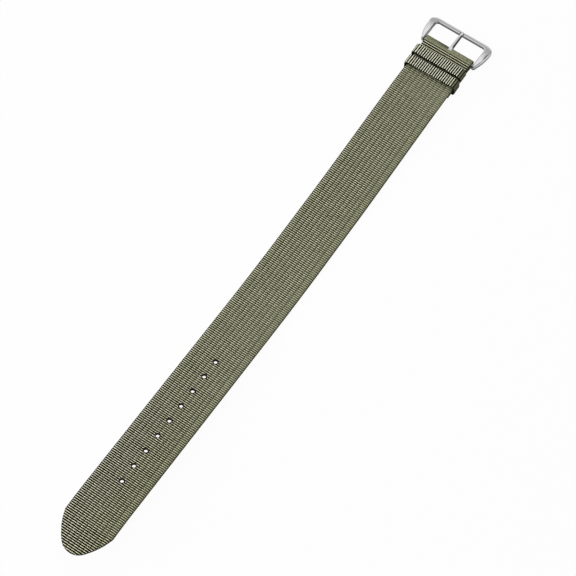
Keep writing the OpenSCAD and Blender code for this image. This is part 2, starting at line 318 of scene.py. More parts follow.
@dataclass(frozen=True)
class WovenNylon(Finish):
    """Ribbed nylon with painted light: a painted highlight on the crown of each float and painted shade
    between the ribs.
    """

    crown: Colour
    flank: Colour
    valley_shade: Colour
    crest_share: float = 0.255
    dip_shade_depth: float = 0.8
    level: float = 0.95
    filament_pitch: float = 0.14
    tone_spread: float = 0.12
    patch_spread: float = 0.16
    green_dye: tuple[float, ...] = (0.88, 0.93, 0.63, 1.0)
    roughness: float = 0.7
    shine: float = 0.12
    ragged: float = 0.13
    crest_end: float = 0.2
    crest_narrowing: float = 0.055

    def surface(self, g: Graph) -> dict[str, Any]:
        """Gives the shader's inputs.

        Args:
            g: The material's graph.

        Returns:
            The inputs, which read the floats' marks and the weave's UV map.
        """
        names = ("rise", "end", "tone", "soft", "calm", "tint", "taut")
        rise, end, tone, soft, calm, tint, taut = (g.mark(name) for name in names)
        end *= 1.0 - calm
        weave = g.out("ShaderNodeUVMap", uv_map="weave")
        patches = g.noise(weave, 0.11, 3.0)
        fleck = g.noise(weave, 1.3, 2.0) - 0.5
        filaments = g.noise(g.scaled(weave, (1 / self.filament_pitch, 0.55, 1.0)), 1.0, 1.0)
        strand = filaments - 0.5
        # Each crest's painted highlight is a rounded patch with a ragged rim: the yarns dip at its ends at
        # different places
        past = g.math("MAXIMUM", end * 5.0 - 4.0, 0.0)
        crest = rise - past * past * self.crest_end - taut * self.crest_narrowing + strand * self.ragged
        # The ribs' colour is painted light: painted shade in the valleys, a painted highlight on the crests
        shade_at, highlight_at = 1 - self.crest_share - 0.2, 1 - self.crest_share + 0.12
        ribs = g.ramp(crest, (shade_at, linear(self.valley_shade)), (highlight_at, linear(self.crown)))
        level = (tone - 0.5) * self.tone_spread + self.level + patches * self.patch_spread + taut * 0.04
        level += fleck * (soft * soft * 1.4 + 0.25) + strand * 0.25
        # Painted shade at the ends where one float dips below its neighbour, deeper on some floats than on
        # others
        dips = {0: end, 1: 0.86, 2: 1.0, 3: 0.0, 4: self.dip_shade_depth}
        bead = g.out("ShaderNodeMapRange", dips, interpolation_type="SMOOTHSTEP")
        level *= 1.0 - g.math("MINIMUM", bead * (tone * 0.6 + 0.4), 1.0)
        dye = g.mix(tint, WHITE, self.green_dye)
        # Where soft, the painted rib highlights and shade give way to the nylon's flat olive
        dyed = g.vector_math("MULTIPLY", {0: g.mix(soft, ribs, linear(self.flank)), 1: dye})
        return {
            "Base Color": g.vector_math("SCALE", {0: dyed, "Scale": level}),
            "Roughness": self.roughness,
            "Specular IOR Level": self.shine,
            "Normal": g.bump(filaments, 0.45, 0.05),
        }


@dataclass(frozen=True)
class MeltedNylon(Finish):
    """Nylon that a hot punch or blade has melted: dark, slightly glossy and lumpy."""

    colour: Colour
    scorch: Colour
    lump_scale: float = 2600.0

    def surface(self, g: Graph) -> dict[str, Any]:
        """Gives the shader's inputs.

        Args:
            g: The material's graph.

        Returns:
            The inputs, on object coordinates.
        """
        lumps = g.noise(g.object_place(), self.lump_scale, 3.0)
        skin = g.ramp(lumps, (0.35, linear(self.scorch)), (0.7, linear(self.colour)))
        normal = g.bump(lumps, 0.5, 0.06)
        return {"Base Color": skin, "Roughness": 0.5, "Specular IOR Level": 0.3, "Normal": normal}


@dataclass(frozen=True)
class SatinSteel(Finish):
    """Stainless steel with fine grinding lines that run along one axis."""

    colour: Colour
    roughness: float
    grain: Spot
    shade_colour: Colour = (84, 84, 87)
    smear_scale: float = 420.0

    def surface(self, g: Graph) -> dict[str, Any]:
        """Gives the shader's inputs.

        Args:
            g: The material's graph.

        Returns:
            The inputs, on object coordinates. Where the mesh is marked, the colour turns to a darker one:
            painted shade, in place of dark reflections.
        """
        place = g.object_place()
        lines = g.noise(g.scaled(place, self.grain), 1.0, 4.0)
        rough = g.noise(place, self.smear_scale, 2.0) * 0.12 + (self.roughness - 0.06) + lines * 0.06
        groove = [round(0.94 * c) for c in self.colour]
        ground = g.ramp(lines, (0.3, linear(groove)), (0.7, linear(self.colour)))
        # Painted shade: marked places take the darker shade colour
        skin = g.mix(g.mark("painted_shade"), ground, linear(self.shade_colour))
        normal = g.bump(lines, 0.12, 0.02)
        return {"Base Color": skin, "Metallic": 1.0, "Roughness": rough, "Normal": normal}


@dataclass(frozen=True)
class SewingThread(Finish):
    """Bonded nylon thread, with the slanting bands of its twist."""

    colour: Colour
    groove: Colour
    slant: float = 35.0
    twist_scale: float = 900.0

    def surface(self, g: Graph) -> dict[str, Any]:
        """Gives the shader's inputs.

        Args:
            g: The material's graph.

        Returns:
            The inputs, on object coordinates.
        """
        turned = g.scaled(g.object_place(), (1.0, 1.0, 0.6), (0.0, 0.0, math.radians(self.slant)))
        bands = {"Vector": turned, "Scale": self.twist_scale, "Distortion": 1.5}
        twist = g.out("ShaderNodeTexWave", bands, "Fac")
        skin = g.ramp(twist, (0.0, linear(self.groove)), (1.0, linear(self.colour)))
        normal = g.bump(twist, 0.6, 0.03)
        return {"Base Color": skin, "Roughness": 0.55, "Sheen Weight": 0.3, "Normal": normal}


@dataclass(frozen=True)
class Finishes:
    """All the finishes of the band."""

    # Each nylon's first colour is the painted highlight on the floats' crowns, its third the painted shade
    # between the ribs
    webbing: Finish = WovenNylon("sage_webbing", (255, 252, 236), (145, 145, 127), (13, 12, 0))
    tape: Finish = WovenNylon("sage_keeper_tape", (255, 255, 238), (118, 118, 92), (6, 5, 0), 0.37, 0.6, 0.9)
    melted: Finish = MeltedNylon("melted_nylon", (34, 32, 20), (10, 9, 4))
    thread: Finish = SewingThread("olive_thread", (104, 106, 76), (44, 45, 28))
    # Each steel's last colour is its painted shade
    buckle: Finish = SatinSteel(
        "satin_buckle_steel", (234, 234, 235), 0.16, (900.0, 5200.0, 5200.0), (30, 30, 32)
    )
    tongue: Finish = SatinSteel(
        "satin_tongue_steel", (236, 236, 237), 0.13, (5200.0, 900.0, 5200.0), (56, 56, 58)
    )
    bar: Finish = SatinSteel("turned_bar_steel", (205, 205, 206), 0.28, (5200.0, 900.0, 900.0))


# Mesh tools


def placed(name: str, data: ID) -> Object:
    """Makes an object and puts it into the scene.

    Args:
        name: The object's name.
        data: Its mesh, lamp or camera data.

    Returns:
        The object.
    """
    item = bpy.data.objects.new(name, data)
    bpy.context.scene.collection.objects.link(item)
    return item


def points_of(mesh: Mesh) -> np.ndarray:
    """Reads a mesh's points.

    Args:
        mesh: The mesh.

    Returns:
        Rows of X, Y and Z.
    """
    flat = np.empty(3 * len(mesh.vertices), np.float32)
    mesh.vertices.foreach_get("co", flat)
    return flat.reshape(-1, 3).astype(float)


def set_points(mesh: Mesh, points: np.ndarray) -> None:
    """Writes a mesh's points back."""
    mesh.vertices.foreach_set("co", points.astype(np.float32).ravel())
    mesh.update()


def set_mark(mesh: Mesh, name: str, shares: np.ndarray) -> None:
    """Writes a share from 0 to 1 on each point of a mesh."""
    layer = mesh.attributes.new(name, "FLOAT", "POINT")
    layer.data.foreach_set("value", np.clip(shares, 0, 1).astype(np.float32))


@contextmanager
def edited(mesh: Mesh) -> Iterator[bmesh.types.BMesh]:
    """Opens a mesh for editing, and writes the changes back.

    Args:
        mesh: The mesh.

    Yields:
        The mesh as it is edited.
    """
    bm = bmesh.new()
    bm.from_mesh(mesh)
    yield bm
    bm.to_mesh(mesh)
    bm.free()


def joined(parts: Sequence[Mesh]) -> Mesh:
    """Joins meshes into one.

    Args:
        parts: The meshes.

    Returns:
        The new mesh.
    """
    mesh = bpy.data.meshes.new("joined")
    bm = bmesh.new()
    for part in parts:
        bm.from_mesh(part)
    bm.to_mesh(mesh)
    bm.free()
    return mesh


def heading(line: np.ndarray) -> np.ndarray:
    """Gives a line's unit direction at each of its points."""
    step = np.gradient(line, axis=0)
    return step / np.linalg.norm(step, axis=1)[:, None]


def full_turn(sides: int) -> np.ndarray:
    """Gives the angles of a full turn in equal steps."""
    return np.radians(np.arange(sides) * 360 / sides)


def ring(section: np.ndarray, place: float) -> np.ndarray:
    """Stands a section of X and Z up at a place along Y."""
    return np.stack([section[:, 0], np.full(len(section), place), section[:, 1]], axis=1)


def sweep(rings: np.ndarray, closed_path: bool = False) -> Mesh:
    """Skins rings of points into a closed shell.

    Args:
        rings: Ring number, point number and X, Y, Z.
        closed_path: Whether the last ring joins the first, with no end caps.

    Returns:
        The mesh, with its faces outwards.
    """
    count, sides, _ = rings.shape
    faces: list[tuple[int, ...]] = []
    for i in range(count if closed_path else count - 1):
        a, b = i * sides, (i + 1) % count * sides
        faces += [(a + k, a + (k + 1) % sides, b + (k + 1) % sides, b + k) for k in range(sides)]
    if not closed_path:
        faces.append(tuple(range(sides - 1, -1, -1)))
        faces.append(tuple(range((count - 1) * sides, count * sides)))
    mesh = bpy.data.meshes.new("swept")
    mesh.from_pydata(rings.reshape(-1, 3).tolist(), [], faces)
    mesh.validate()
    with edited(mesh) as bm:
        bmesh.ops.remove_doubles(bm, verts=bm.verts, dist=1e-5)
        bmesh.ops.recalc_face_normals(bm, faces=bm.faces)
    return mesh


def rounded_section(width: float, height: float, radius: float, steps: int = 3) -> np.ndarray:
    """Makes a rectangle with round corners.

    Args:
        width: Full width.
        height: Full height.
        radius: Corner radius.
        steps: Faces in a corner.

    Returns:
        Its points, counter-clockwise, about its middle.
    """
    r = min(radius, 0.48 * width, 0.48 * height)
    points = []
    for corner, (sx, sy) in enumerate(((1, 1), (-1, 1), (-1, -1), (1, -1))):
        for a in math.pi / 2 * (corner + np.arange(steps + 1) / steps):
            points.append((sx * (width / 2 - r) + r * math.cos(a), sy * (height / 2 - r) + r * math.sin(a)))
    return np.array(points)


def baked(holder: Object) -> Mesh:
    """Gives an object's mesh as its modifiers leave it, and removes the object.

    Args:
        holder: The object.

    Returns:
        The plain mesh.
    """
    bpy.context.view_layer.update()
    result = bpy.data.meshes.new_from_object(holder.evaluated_get(bpy.context.evaluated_depsgraph_get()))
    bpy.data.objects.remove(holder)
    return result


def drill(bm: bmesh.types.BMesh, radius: float, depth: float, place: Matrix) -> None:
    """Adds a round cutter."""
    size = {"radius1": radius, "radius2": radius, "depth": depth, "segments": 24}
    bmesh.ops.create_cone(bm, cap_ends=True, matrix=place, **size)


def carve(mesh: Mesh, cutter: Mesh) -> Mesh:
    """Cuts one mesh out of another.

    Args:
        mesh: What is cut.
        cutter: What is taken away.

    Returns:
        The cut mesh.
    """
    body, tool = placed("carved", mesh), placed("cutter", cutter)
    modifier = body.modifiers.new("cut", "BOOLEAN")
    modifier.operation, modifier.solver, modifier.object = "DIFFERENCE", "EXACT", tool
    result = baked(body)
    bpy.data.objects.remove(tool)
    return result


def woven(
    mesh: Mesh,
    wrap: Callable[[np.ndarray], np.ndarray],
    marks: Callable[[np.ndarray], Marks] | None = None,
) -> Mesh:
    """Gives a flat woven mesh its UV map and marks, and bends it into place.

    Args:
        mesh: The flat mesh, changed in place.
        wrap: Bends flat points into their real place.
        marks: Gives the flat points' shares of what the finish knows by name.

    Returns:
        The same mesh.
    """
    flat = points_of(mesh)
    uv = mesh.uv_layers.get("weave") or mesh.uv_layers.new(name="weave")
    corners = np.empty(len(mesh.loops), np.int32)
    mesh.loops.foreach_get("vertex_index", corners)
    uv.data.foreach_set("uv", flat[corners][:, :2].astype(np.float32).ravel())
    for name, shares in (marks(flat) if marks else {}).items():
        set_mark(mesh, name, shares)
    set_points(mesh, wrap(flat))
    return mesh


def dressed(
    name: str,
    mesh: Mesh,
    material: Material,
    body: Body | None,
    node: str = "",
) -> Object:
    """Turns a mesh into a finished piece at the origin.

    Args:
        name: The piece's name.
        mesh: Its mesh, in millimetres.
        material: Its finish.
        body: The body that it rides on, or None for a piece on no body.
        node: The CAD node that it replaces, if any.

    Returns:
        The piece's object.
    """
    set_points(mesh, points_of(mesh) * MM)
    mesh.name = name
    mesh.polygons.foreach_set("use_smooth", [True] * len(mesh.polygons))
    mesh.materials.clear()
    mesh.materials.append(material)
    piece = placed(name, mesh)
    if body:
        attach(piece, body.value)
    if node:
        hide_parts(node)
    return piece


def sharpen(mesh: Mesh, degrees: float) -> None:
    """Marks a mesh's edges sharp where they turn by more than an angle.

    Args:
        mesh: The mesh, changed in place.
        degrees: The angle.
    """
    with edited(mesh) as bm:
        for edge in bm.edges:
            edge.smooth = not (edge.is_manifold and edge.calc_face_angle(0) > math.radians(degrees))


# Node trees for what repeats


class GrowingTree:
    """A Geometry Nodes tree with named inputs, the last of which is its finish."""

    title = ""
    inputs: dict[str, tuple[str, ...]] = {}

    def __init__(self) -> None:
        """Makes the tree's inputs and nodes."""
        self.tree = bpy.data.node_groups.new(self.title, "GeometryNodeTree")
        for kind, names in (self.inputs | {"Material": ("Finish",)}).items():
            for name in names:
                self.tree.interface.new_socket(name=name, in_out="INPUT", socket_type=f"NodeSocket{kind}")
        self.tree.interface.new_socket(name="Geometry", in_out="OUTPUT", socket_type="NodeSocketGeometry")
        g = Graph(self.tree)
        take = {socket.name: Value(g, socket) for socket in g.add("NodeGroupInput").outputs}
        coated = {"Geometry": self.shape(g, take), "Material": take["Finish"]}
        g.add("NodeGroupOutput", {0: g.out("GeometryNodeSetMaterial", coated)})

    def shape(self, g: Graph, take: dict[str, Value]) -> Value:
        """Makes the tree's geometry; each kind of tree has its own."""
        raise NotImplementedError

    def run(self, values: dict[str, Any], seed_mesh: Mesh | None = None) -> Mesh:
        """Runs the tree and keeps its result as a plain mesh.

        Args:
            values: Values for its named inputs.
            seed_mesh: The mesh that goes in, where the tree takes one.

        Returns:
            The result.
        """
        holder = placed("grown", seed_mesh or bpy.data.meshes.new("empty"))
        modifier = holder.modifiers.new("grow", "NODES")
        modifier.node_group = self.tree
        taken = (item for item in self.tree.interface.items_tree if item.in_out == "INPUT")
        sockets = {item.name: item.identifier for item in taken}
        for name, value in values.items():
            modifier[sockets[name]] = value
        return baked(holder)


class FloatTree(GrowingTree):
    """Weaves rows of yarn floats on a flat sheet."""

    title = "woven_floats"
    inputs = {
        "Int": ("Rows", "Columns", "Cuts Across", "Cuts Along"),
        "Float": (
            "Pitch", "First Row", "Column Width", "First Column", "Float Length", "Float Width",
            "Float Height", "End Power", "Slant", "Stagger", "Last Stagger", "Unevenness",
        ),
    }

    def _float(self, g: Graph, take: dict[str, Value]) -> Value:
        """Shapes one float: a crowned pillow whose rim dips into the sheet.

        Args:
            g: The graph that is built.
            take: The named inputs.

        Returns:
            The float's geometry.
        """
        cuts = {"Vertices X": take["Cuts Across"], "Vertices Y": take["Cuts Along"]}
        grid = g.out("GeometryNodeMeshGrid", {"Size X": 2.0, "Size Y": 2.0} | cuts)
        across, along, _ = g.split(g.out("GeometryNodeInputPosition"))
        # The cuts across lie closer together near the float's ends
        spread = g.math("SIGN", across) * abs(across) ** 0.32
        end = 1.0 - abs(spread) ** take["End Power"]
        crown = g.math("SQRT", g.math("MAXIMUM", 1.0 - along**2.0, 0.0))
        place = g.vector(
            spread * (take["Float Width"] * 0.5),
            along * (take["Float Length"] * 0.5),
            end * crown * take["Float Height"] - 0.04,
        )
        marked = g.store(grid, "rise", 1.0 - abs(along))
        marked = g.store(marked, "end", abs(spread) ** (take["End Power"] / 10.0))
        return g.out("GeometryNodeSetPosition", {"Geometry": marked, "Position": place})

    def shape(self, g: Graph, take: dict[str, Value]) -> Value:
        """Joins the float, its row across and the rows along.

        Args:
            g: The graph that is built.
            take: The named inputs.

        Returns:
            The sheet of floats.
        """
        first, width = take["First Column"], take["Column Width"]
        row = g.repeat(self._float(g, take), take["Columns"], g.vector(first), g.vector(width))
        start, pitch = take["First Row"], take["Pitch"]
        sheet = g.repeat(row, take["Rows"], g.vector(0.0, start), g.vector(0.0, pitch))
        flat = g.out("GeometryNodeRealizeInstances", {0: sheet})
        # One tone and one small shift for each float, by its island of faces
        island = g.out("GeometryNodeInputMeshIsland")
        tone = g.out("FunctionNodeRandomValue", {"ID": island, "Seed": SEED}, 1, data_type="FLOAT")
        spans = {"ID": island, "Seed": SEED + 1, 0: (-1.0, -1.0, -1.0), 1: (1.0, 1.0, 1.0)}
        nudge = g.out("FunctionNodeRandomValue", spans, data_type="FLOAT_VECTOR")
        step = g.vector_math("SCALE", {0: nudge, "Scale": take["Unevenness"]})
        x, y, _ = g.split(g.out("GeometryNodeInputPosition"))
        # Every second column is shifted, by a share of the pitch that changes from the first row to the last
        across = (x - first) / width
        column = g.math("FLOOR", across + 0.5)
        stagger = g.out(
            "ShaderNodeMapRange",
            {0: (y - start) / (take["Rows"] * pitch), 3: take["Stagger"], 4: take["Last Stagger"]},
        )
        shift = g.math("FLOORED_MODULO", column, 2.0) * stagger * pitch
        shift += (across - column) * (take["Slant"] * 2.0)
        both = g.vector_math("ADD", {0: step, 1: g.vector(0.0, shift)})
        return g.out("GeometryNodeSetPosition", {"Geometry": g.store(flat, "tone", tone), "Offset": both})


class RowTree(GrowingTree):
    """Repeats the mesh that it is given along a line."""

    title = "row_of_pieces"
    inputs = {
        "Geometry": ("Piece",), "Int": ("Count",), "Vector": ("Start", "Step"), "Float": ("Turn Spread",),
    }

    def shape(self, g: Graph, take: dict[str, Value]) -> Value:
        """Repeats the piece, each one turned a little.

        Args:
            g: The graph that is built.
            take: The named inputs.

        Returns:
            The row.
        """
        spread = take["Turn Spread"]
        spans = {2: spread * -1.0, 3: spread, "Seed": SEED}
        turn = g.out("FunctionNodeRandomValue", spans, 1, data_type="FLOAT")
        angle = g.vector(0.0, 0.0, turn)
        row = g.repeat(take["Piece"], take["Count"], take["Start"], take["Step"], Rotation=angle)
        return g.out("GeometryNodeRealizeInstances", {0: row})


# The band's lie


@dataclass(frozen=True)
class Lie:
    """How the webbing lies: its heights along the band, as the solids have them."""

    thickness: float = 1.2
    half_width: float = 10.0
    reach: float = 238.4
    tail_length: float = 16.0
    tail_rise: float = 5.0
    drop_start: float = 9.03
    drop_length: float = 2.9
    sag_start: float = 18.5
    sag_end: float = 80.0
    lift_start: float = 101.0
    rise_radius: float = 330.0
    rise_angle: float = 5.3
    nod_length: float = 23.4
    nod_radius: float = 90.0
    fold_radius: float = 1.4
    lap_low: float = 1.1
    upper_low: float = 2.35
    crest_low: float = 3.06
    fold_low: float = 0.26

    def upper(self, d: np.ndarray) -> np.ndarray:
        """Gives the underside's height of the upper layer.

        Args:
            d: Distances behind the spring bar.

        Returns:
            Heights over the table.
        """
        turn = math.radians(self.rise_angle)
        rise_end = self.lift_start + self.rise_radius * math.sin(turn)
        rise_high = self.rise_radius * (1 - math.cos(turn))
        nod_start = self.reach - self.nod_length
        nod_high = rise_high + (nod_start - rise_end) * math.tan(turn)
        risen = np.clip(d - self.lift_start, 0, self.rise_radius)
        arc = self.rise_radius - np.sqrt(self.rise_radius**2 - risen**2)
        slope = rise_high + (d - rise_end) * math.tan(turn)
        over = np.clip(self.nod_radius**2 - (d - nod_start - self.nod_radius * math.sin(turn)) ** 2, 0, None)
        nod = nod_high - self.nod_radius * math.cos(turn) + np.sqrt(over)
        lifted = np.where(d > nod_start, nod, np.where(d > rise_end, slope, arc))
        sag = self.upper_low * (1 - ease((d - self.sag_start) / (self.sag_end - self.sag_start)))
        fallen = ease((d - self.drop_start) / self.drop_length)
        drop = self.crest_low - (self.crest_low - self.upper_low) * fallen
        return np.where(d > self.sag_end, lifted, np.where(d > self.sag_start, sag, drop))

    def lower(self, d: np.ndarray) -> np.ndarray:
        """Gives the underside's height of the folded tail at distances behind the spring bar."""
        return self.fold_low + (self.lap_low - self.fold_low) * ease(d / self.tail_rise)


class Line:
    """A line in an upright plane, onto which flat points are bent."""

    def __init__(self, u: np.ndarray, z: np.ndarray, s: np.ndarray) -> None:
        """Keeps the line's points and works out its normals.

        Args:
            u: Level places of its points.
            z: Heights of its points.
            s: Places of its points along the line itself.
        """
        self.u, self.z, self.s = u, z, s
        self.length = float(s[-1])
        du, dz = np.gradient(u, s), np.gradient(z, s)
        size = np.hypot(du, dz)
        self.nu, self.nz = dz / size, -du / size

    def bent(self, s: np.ndarray, out: np.ndarray) -> tuple[np.ndarray, np.ndarray]:
        """Gives points beside the line.

        Args:
            s: Places along it.
            out: Distances out of it.

        Returns:
            The points' level places and heights.
        """
        u, z, nu, nz = (np.interp(s, self.s, column) for column in (self.u, self.z, self.nu, self.nz))
        size = np.hypot(nu, nz)
        return u + out * nu / size, z + out * nz / size


class BandPath(Line):
    """The webbing's middle line, from the tail's end round the bar to the tip, unrolled by length."""

    def __init__(self, lie: Lie) -> None:
        """Samples the line and measures its length.

        Args:
            lie: How the webbing lies.
        """
        self.lie = lie
        half = lie.thickness / 2
        tail = np.arange(lie.tail_length, 0, -0.1)
        turn = np.radians(np.linspace(-90, 90, 61))
        upper = np.append(np.arange(0.1, lie.reach, 0.1), lie.reach)
        y = np.concatenate([-tail, lie.fold_radius * np.cos(turn), -upper])
        bar = BAR_Z + lie.fold_radius * np.sin(turn)
        z = np.concatenate([lie.lower(tail) + half, bar, lie.upper(upper) + half])
        super().__init__(y + BAR_Y, z, np.append(0, np.cumsum(np.hypot(np.diff(y), np.diff(z)))))
        self.fold_start = float(self.s[len(tail)])
        self.fold_end = float(self.s[len(tail) + len(turn) - 1])

    def at(self, d: float) -> float:
        """Gives the unrolled place of a point of the upper layer, d behind the bar."""
        upper = self.s > self.fold_end - 1e-6
        return float(np.interp(d, (BAR_Y - self.u)[upper], self.s[upper]))

    def wrap(self, flat: np.ndarray) -> np.ndarray:
        """Bends points of the flat, unrolled band onto its real lie.

        Args:
            flat: X across, Y along the unrolled band, Z out of its outer face from the middle.

        Returns:
            The points in their real place.
        """
        y, z = self.bent(flat[:, 1], flat[:, 2])
        over = np.clip(flat[:, 1] - self.length, 0, None)
        return np.stack([flat[:, 0], y - over, z], axis=1)


class LoopPath(Line):
    """The middle line of a keeper's tape, round a box with round corners."""

    def __init__(self, half: float, low: float, high: float, upper_r: float, lower_r: float) -> None:
        """Samples the line, clockwise seen from the buckle, from the middle of its underside.

        Args:
            half: Half its width.
            low: Height of its lower run.
            high: Height of its upper run.
            upper_r: Radius of its shoulders.
            lower_r: Radius of its lower corners.
        """
        corners = (
            (half - lower_r, low + lower_r, lower_r, -90),
            (half - upper_r, high - upper_r, upper_r, 0),
            (upper_r - half, high - upper_r, upper_r, 90),
            (lower_r - half, low + lower_r, lower_r, 180),
        )
        points = [(0.0, low)]
        for x, z, r, first in corners:
            turn = np.radians(first + np.linspace(0, 90, 25))
            points += list(zip(x + r * np.cos(turn), z + r * np.sin(turn)))
        dense = np.array([*points, (0.0, low)])
        length = np.append(0, np.cumsum(np.hypot(*np.diff(dense, axis=0).T)))
        s = np.linspace(0, length[-1], 1200)
        super().__init__(np.interp(s, length, dense[:, 0]), np.interp(s, length, dense[:, 1]), s)

    def wrap(self, flat: np.ndarray) -> np.ndarray:
        """Bends points of the flat tape onto the loop.

        Args:
            flat: X across the tape, Y along it, Z out of its outer face from the middle.

        Returns:
            The points round the band, with Y from the tape's middle.
        """
        x, z = self.bent(np.mod(flat[:, 1], self.length), flat[:, 2])
        return np.stack([x, flat[:, 0], z], axis=1)


# The webbing


@dataclass
class Webbing:
    """The woven band itself: its ground, its two faces of floats, its punched holes and its tip."""

    path: BandPath
    nylon: Material
    melted: Material
    floats: FloatTree
    rows: RowTree
    pitch: float = 0.829
    columns: int = 8
    column_width: float = 1.85
    selvedge: float = 0.12
    float_height: float = 0.21
    ground_half: float = 0.43
    tip_length: float = 11.8
    nose_radius: float = 6.0
    tip_break: float = 17.0
    hole_count: int = 9
    hole_pitch: float = 7.0
    first_hole: float = 207.6
    hole_radius: float = 0.72
    rim_radius: float = 1.26
    slot_half: float = 1.0
    slot_back: float = 0.9
    bare_to: float = 0.39
    plain_to: float = 5.3
    plain_pitch: float = 0.935
    cut_depth: float = 4.0
    soft_along: Table = ((0, 0.48), (25, 0.4), (75, 0.1), (130, 0.24), (200, 0))
    soft_right: Table = ((25, 0), (75, 0.2), (130, 0.1), (200, 0))
    calm_along: Table = ((10, 0.05), (60, 0), (90, 0.02), (130, 0.08), (160, 0.03), (215, 0.06))
    tint_along: Table = ((30, 0.6), (75, 0.7), (130, 0.64), (170, 0.6))
    tint_across: Table = ((-7, -0.16), (0, -0.04), (7, 0.16))

    def half_width(self, s: np.ndarray) -> np.ndarray:
        """Gives half the webbing's width, which narrows over its rounded tip.

        Args:
            s: Unrolled places.

        Returns:
            Half widths.
        """
        half, nose = self.path.lie.half_width, self.nose_radius
        back = self.tip_length - nose
        turn = math.radians(self.tip_break)
        narrowed = half * math.cos(turn) - back * math.sin(turn) - nose
        radius = (half**2 + back**2 - nose**2) / (2 * narrowed)
        side_x, side_y = radius * math.cos(turn) - half, radius * math.sin(turn)
        meet = math.atan2(back + side_y, side_x)
        along = s - (self.path.length - self.tip_length)
        side = np.sqrt(np.clip(radius**2 - (along + side_y) ** 2, 0, None)) - side_x
        front = np.sqrt(np.clip(nose**2 - (along - back) ** 2, 0, None))
        tip = np.where(along > back + nose * math.sin(meet), front, side)
        return np.where(along > 0, np.clip(tip, 0.02, half), half)

    def hole_places(self) -> list[float]:
        """Gives the holes' unrolled places."""
        return [self.path.at(self.first_hole - i * self.hole_pitch) for i in range(self.hole_count)]

    def slot_span(self) -> tuple[float, float]:
        """Gives the unrolled start and end of the tongue's slot."""
        return self.path.fold_start - self.slot_back, self.path.fold_end

    def marks(self, flat: np.ndarray) -> Marks:
        """Gives how the weave's look changes over the band.

        Args:
            flat: Flat points.

        Returns:
            soft, how far the painted rib highlights and shade fade to flat olive: over the fold, behind the
            keepers and on the right edge; calm, the painted shade at the columns' seams fading towards the
            tip's left; tint, the dye's green; taut, the painted highlights on the ribs' crests getting
            narrower towards the tip.
        """
        path = self.path
        x, away = flat[:, 0], flat[:, 1] - path.fold_end
        right = ease((x + 2) / 8)
        fold = ease((1.3 - away) / 0.6) * (flat[:, 1] > path.fold_start - 2.5)
        soft = read(self.soft_along, away) + read(self.soft_right, away) * ease((x - 4) / 3)
        soft = (soft + 0.2 * ease((x - 7.1) / 0.6)) * (away > 5)
        calm = read(self.calm_along, away) + 0.4 * (1 - right) * ease((away - 185) / 30)
        tint = read(self.tint_along, away) + read(self.tint_across, x) * ease((away - 150) / 50)
        taut = (0.75 + 0.25 * right) * ease((away - 140) / 60)
        return {"soft": np.maximum(fold, soft), "calm": calm, "tint": tint, "taut": taut}

    def _ground_marks(self, flat: np.ndarray) -> Marks:
        """Keeps the softness over the fold alone, so that the ground keeps the painted shade between the
        ribs; the right selvedge's painted shade is a little lighter.

        Args:
            flat: Flat points.

        Returns:
            soft and tint.
        """
        marks = self.marks(flat)
        edge = 0.3 * (flat[:, 0] > self.path.lie.half_width - 1.2 * self.selvedge)
        return {"soft": np.where(marks["soft"] > 0.6, marks["soft"], edge), "tint": marks["tint"]}

    def ground(self) -> Mesh:
        """Builds the flat sheet that the floats stand on, with its holes and slot.

        Returns:
            The flat mesh.
        """
        path = self.path
        nose = self.tip_length * (1 - np.sin(np.linspace(0, math.pi / 2, 40)))
        stations = np.concatenate(
            [
                np.arange(0, path.fold_start, 0.6),
                np.linspace(path.fold_start, path.fold_end, 25),
                np.arange(path.fold_end + 0.6, path.length - self.tip_length, 0.9),
                path.length - nose - 0.04,
            ]
        )
        halves = self.half_width(stations) + 0.05
        sections = [rounded_section(2 * half, 2 * self.ground_half, 0.16) for half in halves]
        cutter = bpy.data.meshes.new("punch")
        with edited(cutter) as bm:
            for place in self.hole_places():
                drill(bm, self.hole_radius, self.cut_depth, Matrix.Translation((0, place, 0)))
            start, end = self.slot_span()
            size = Matrix.Diagonal((2 * self.slot_half, end - start, self.cut_depth, 1))
            bmesh.ops.create_cube(bm, size=1, matrix=Matrix.Translation((0, (start + end) / 2, 0)) @ size)
        return carve(sweep(np.array([ring(section, s) for section, s in zip(sections, stations)])), cutter)

    def _weave(self, values: dict[str, Any]) -> Mesh:
        """Weaves rows of floats and trims them.

        Args:
            values: Inputs of the tree that differ from the webbing's usual ones.

        Returns:
            The trimmed flat mesh.
        """
        given = {
            "Pitch": self.pitch,
            "Float Length": 0.92 * self.pitch,
            "Float Height": self.float_height,
            "End Power": 7.0,
            "Slant": -0.02,
            "Unevenness": 0.012,
            "Cuts Across": 5,
            "Finish": self.nylon,
        } | values
        mesh = self.floats.run(given)
        self._trim(mesh, given["Cuts Across"] * given["Cuts Along"])
        return mesh

    def _stretch(self, first: float, last: float, along: int) -> list[Mesh]:
        """Weaves one stretch of rows: the middle columns and the two along the selvedges.

        Args:
            first: Unrolled place of the first row.
            last: Unrolled place that the rows end at.
            along: Points along a float's short side.

        Returns:
            The trimmed flat meshes.
        """
        half = self.path.lie.half_width - self.selvedge
        edge = half - self.columns / 2 * self.column_width
        rows = {"Rows": round((last - first) / self.pitch), "First Row": first, "Cuts Along": along}
        middle = {
            "Columns": self.columns,
            "Column Width": self.column_width,
            "First Column": -(self.columns - 1) / 2 * self.column_width,
            "Float Width": 0.998 * self.column_width,
        }
        edges = {
            "Columns": 2,
            "Column Width": 2 * half - edge,
            "First Column": edge / 2 - half,
            "Float Width": 0.995 * edge,
            "Float Height": 0.92 * self.float_height,
            "Stagger": -0.24,
            "Last Stagger": -0.18,
        }
        return [self._weave(rows | columns) for columns in (middle, edges)]

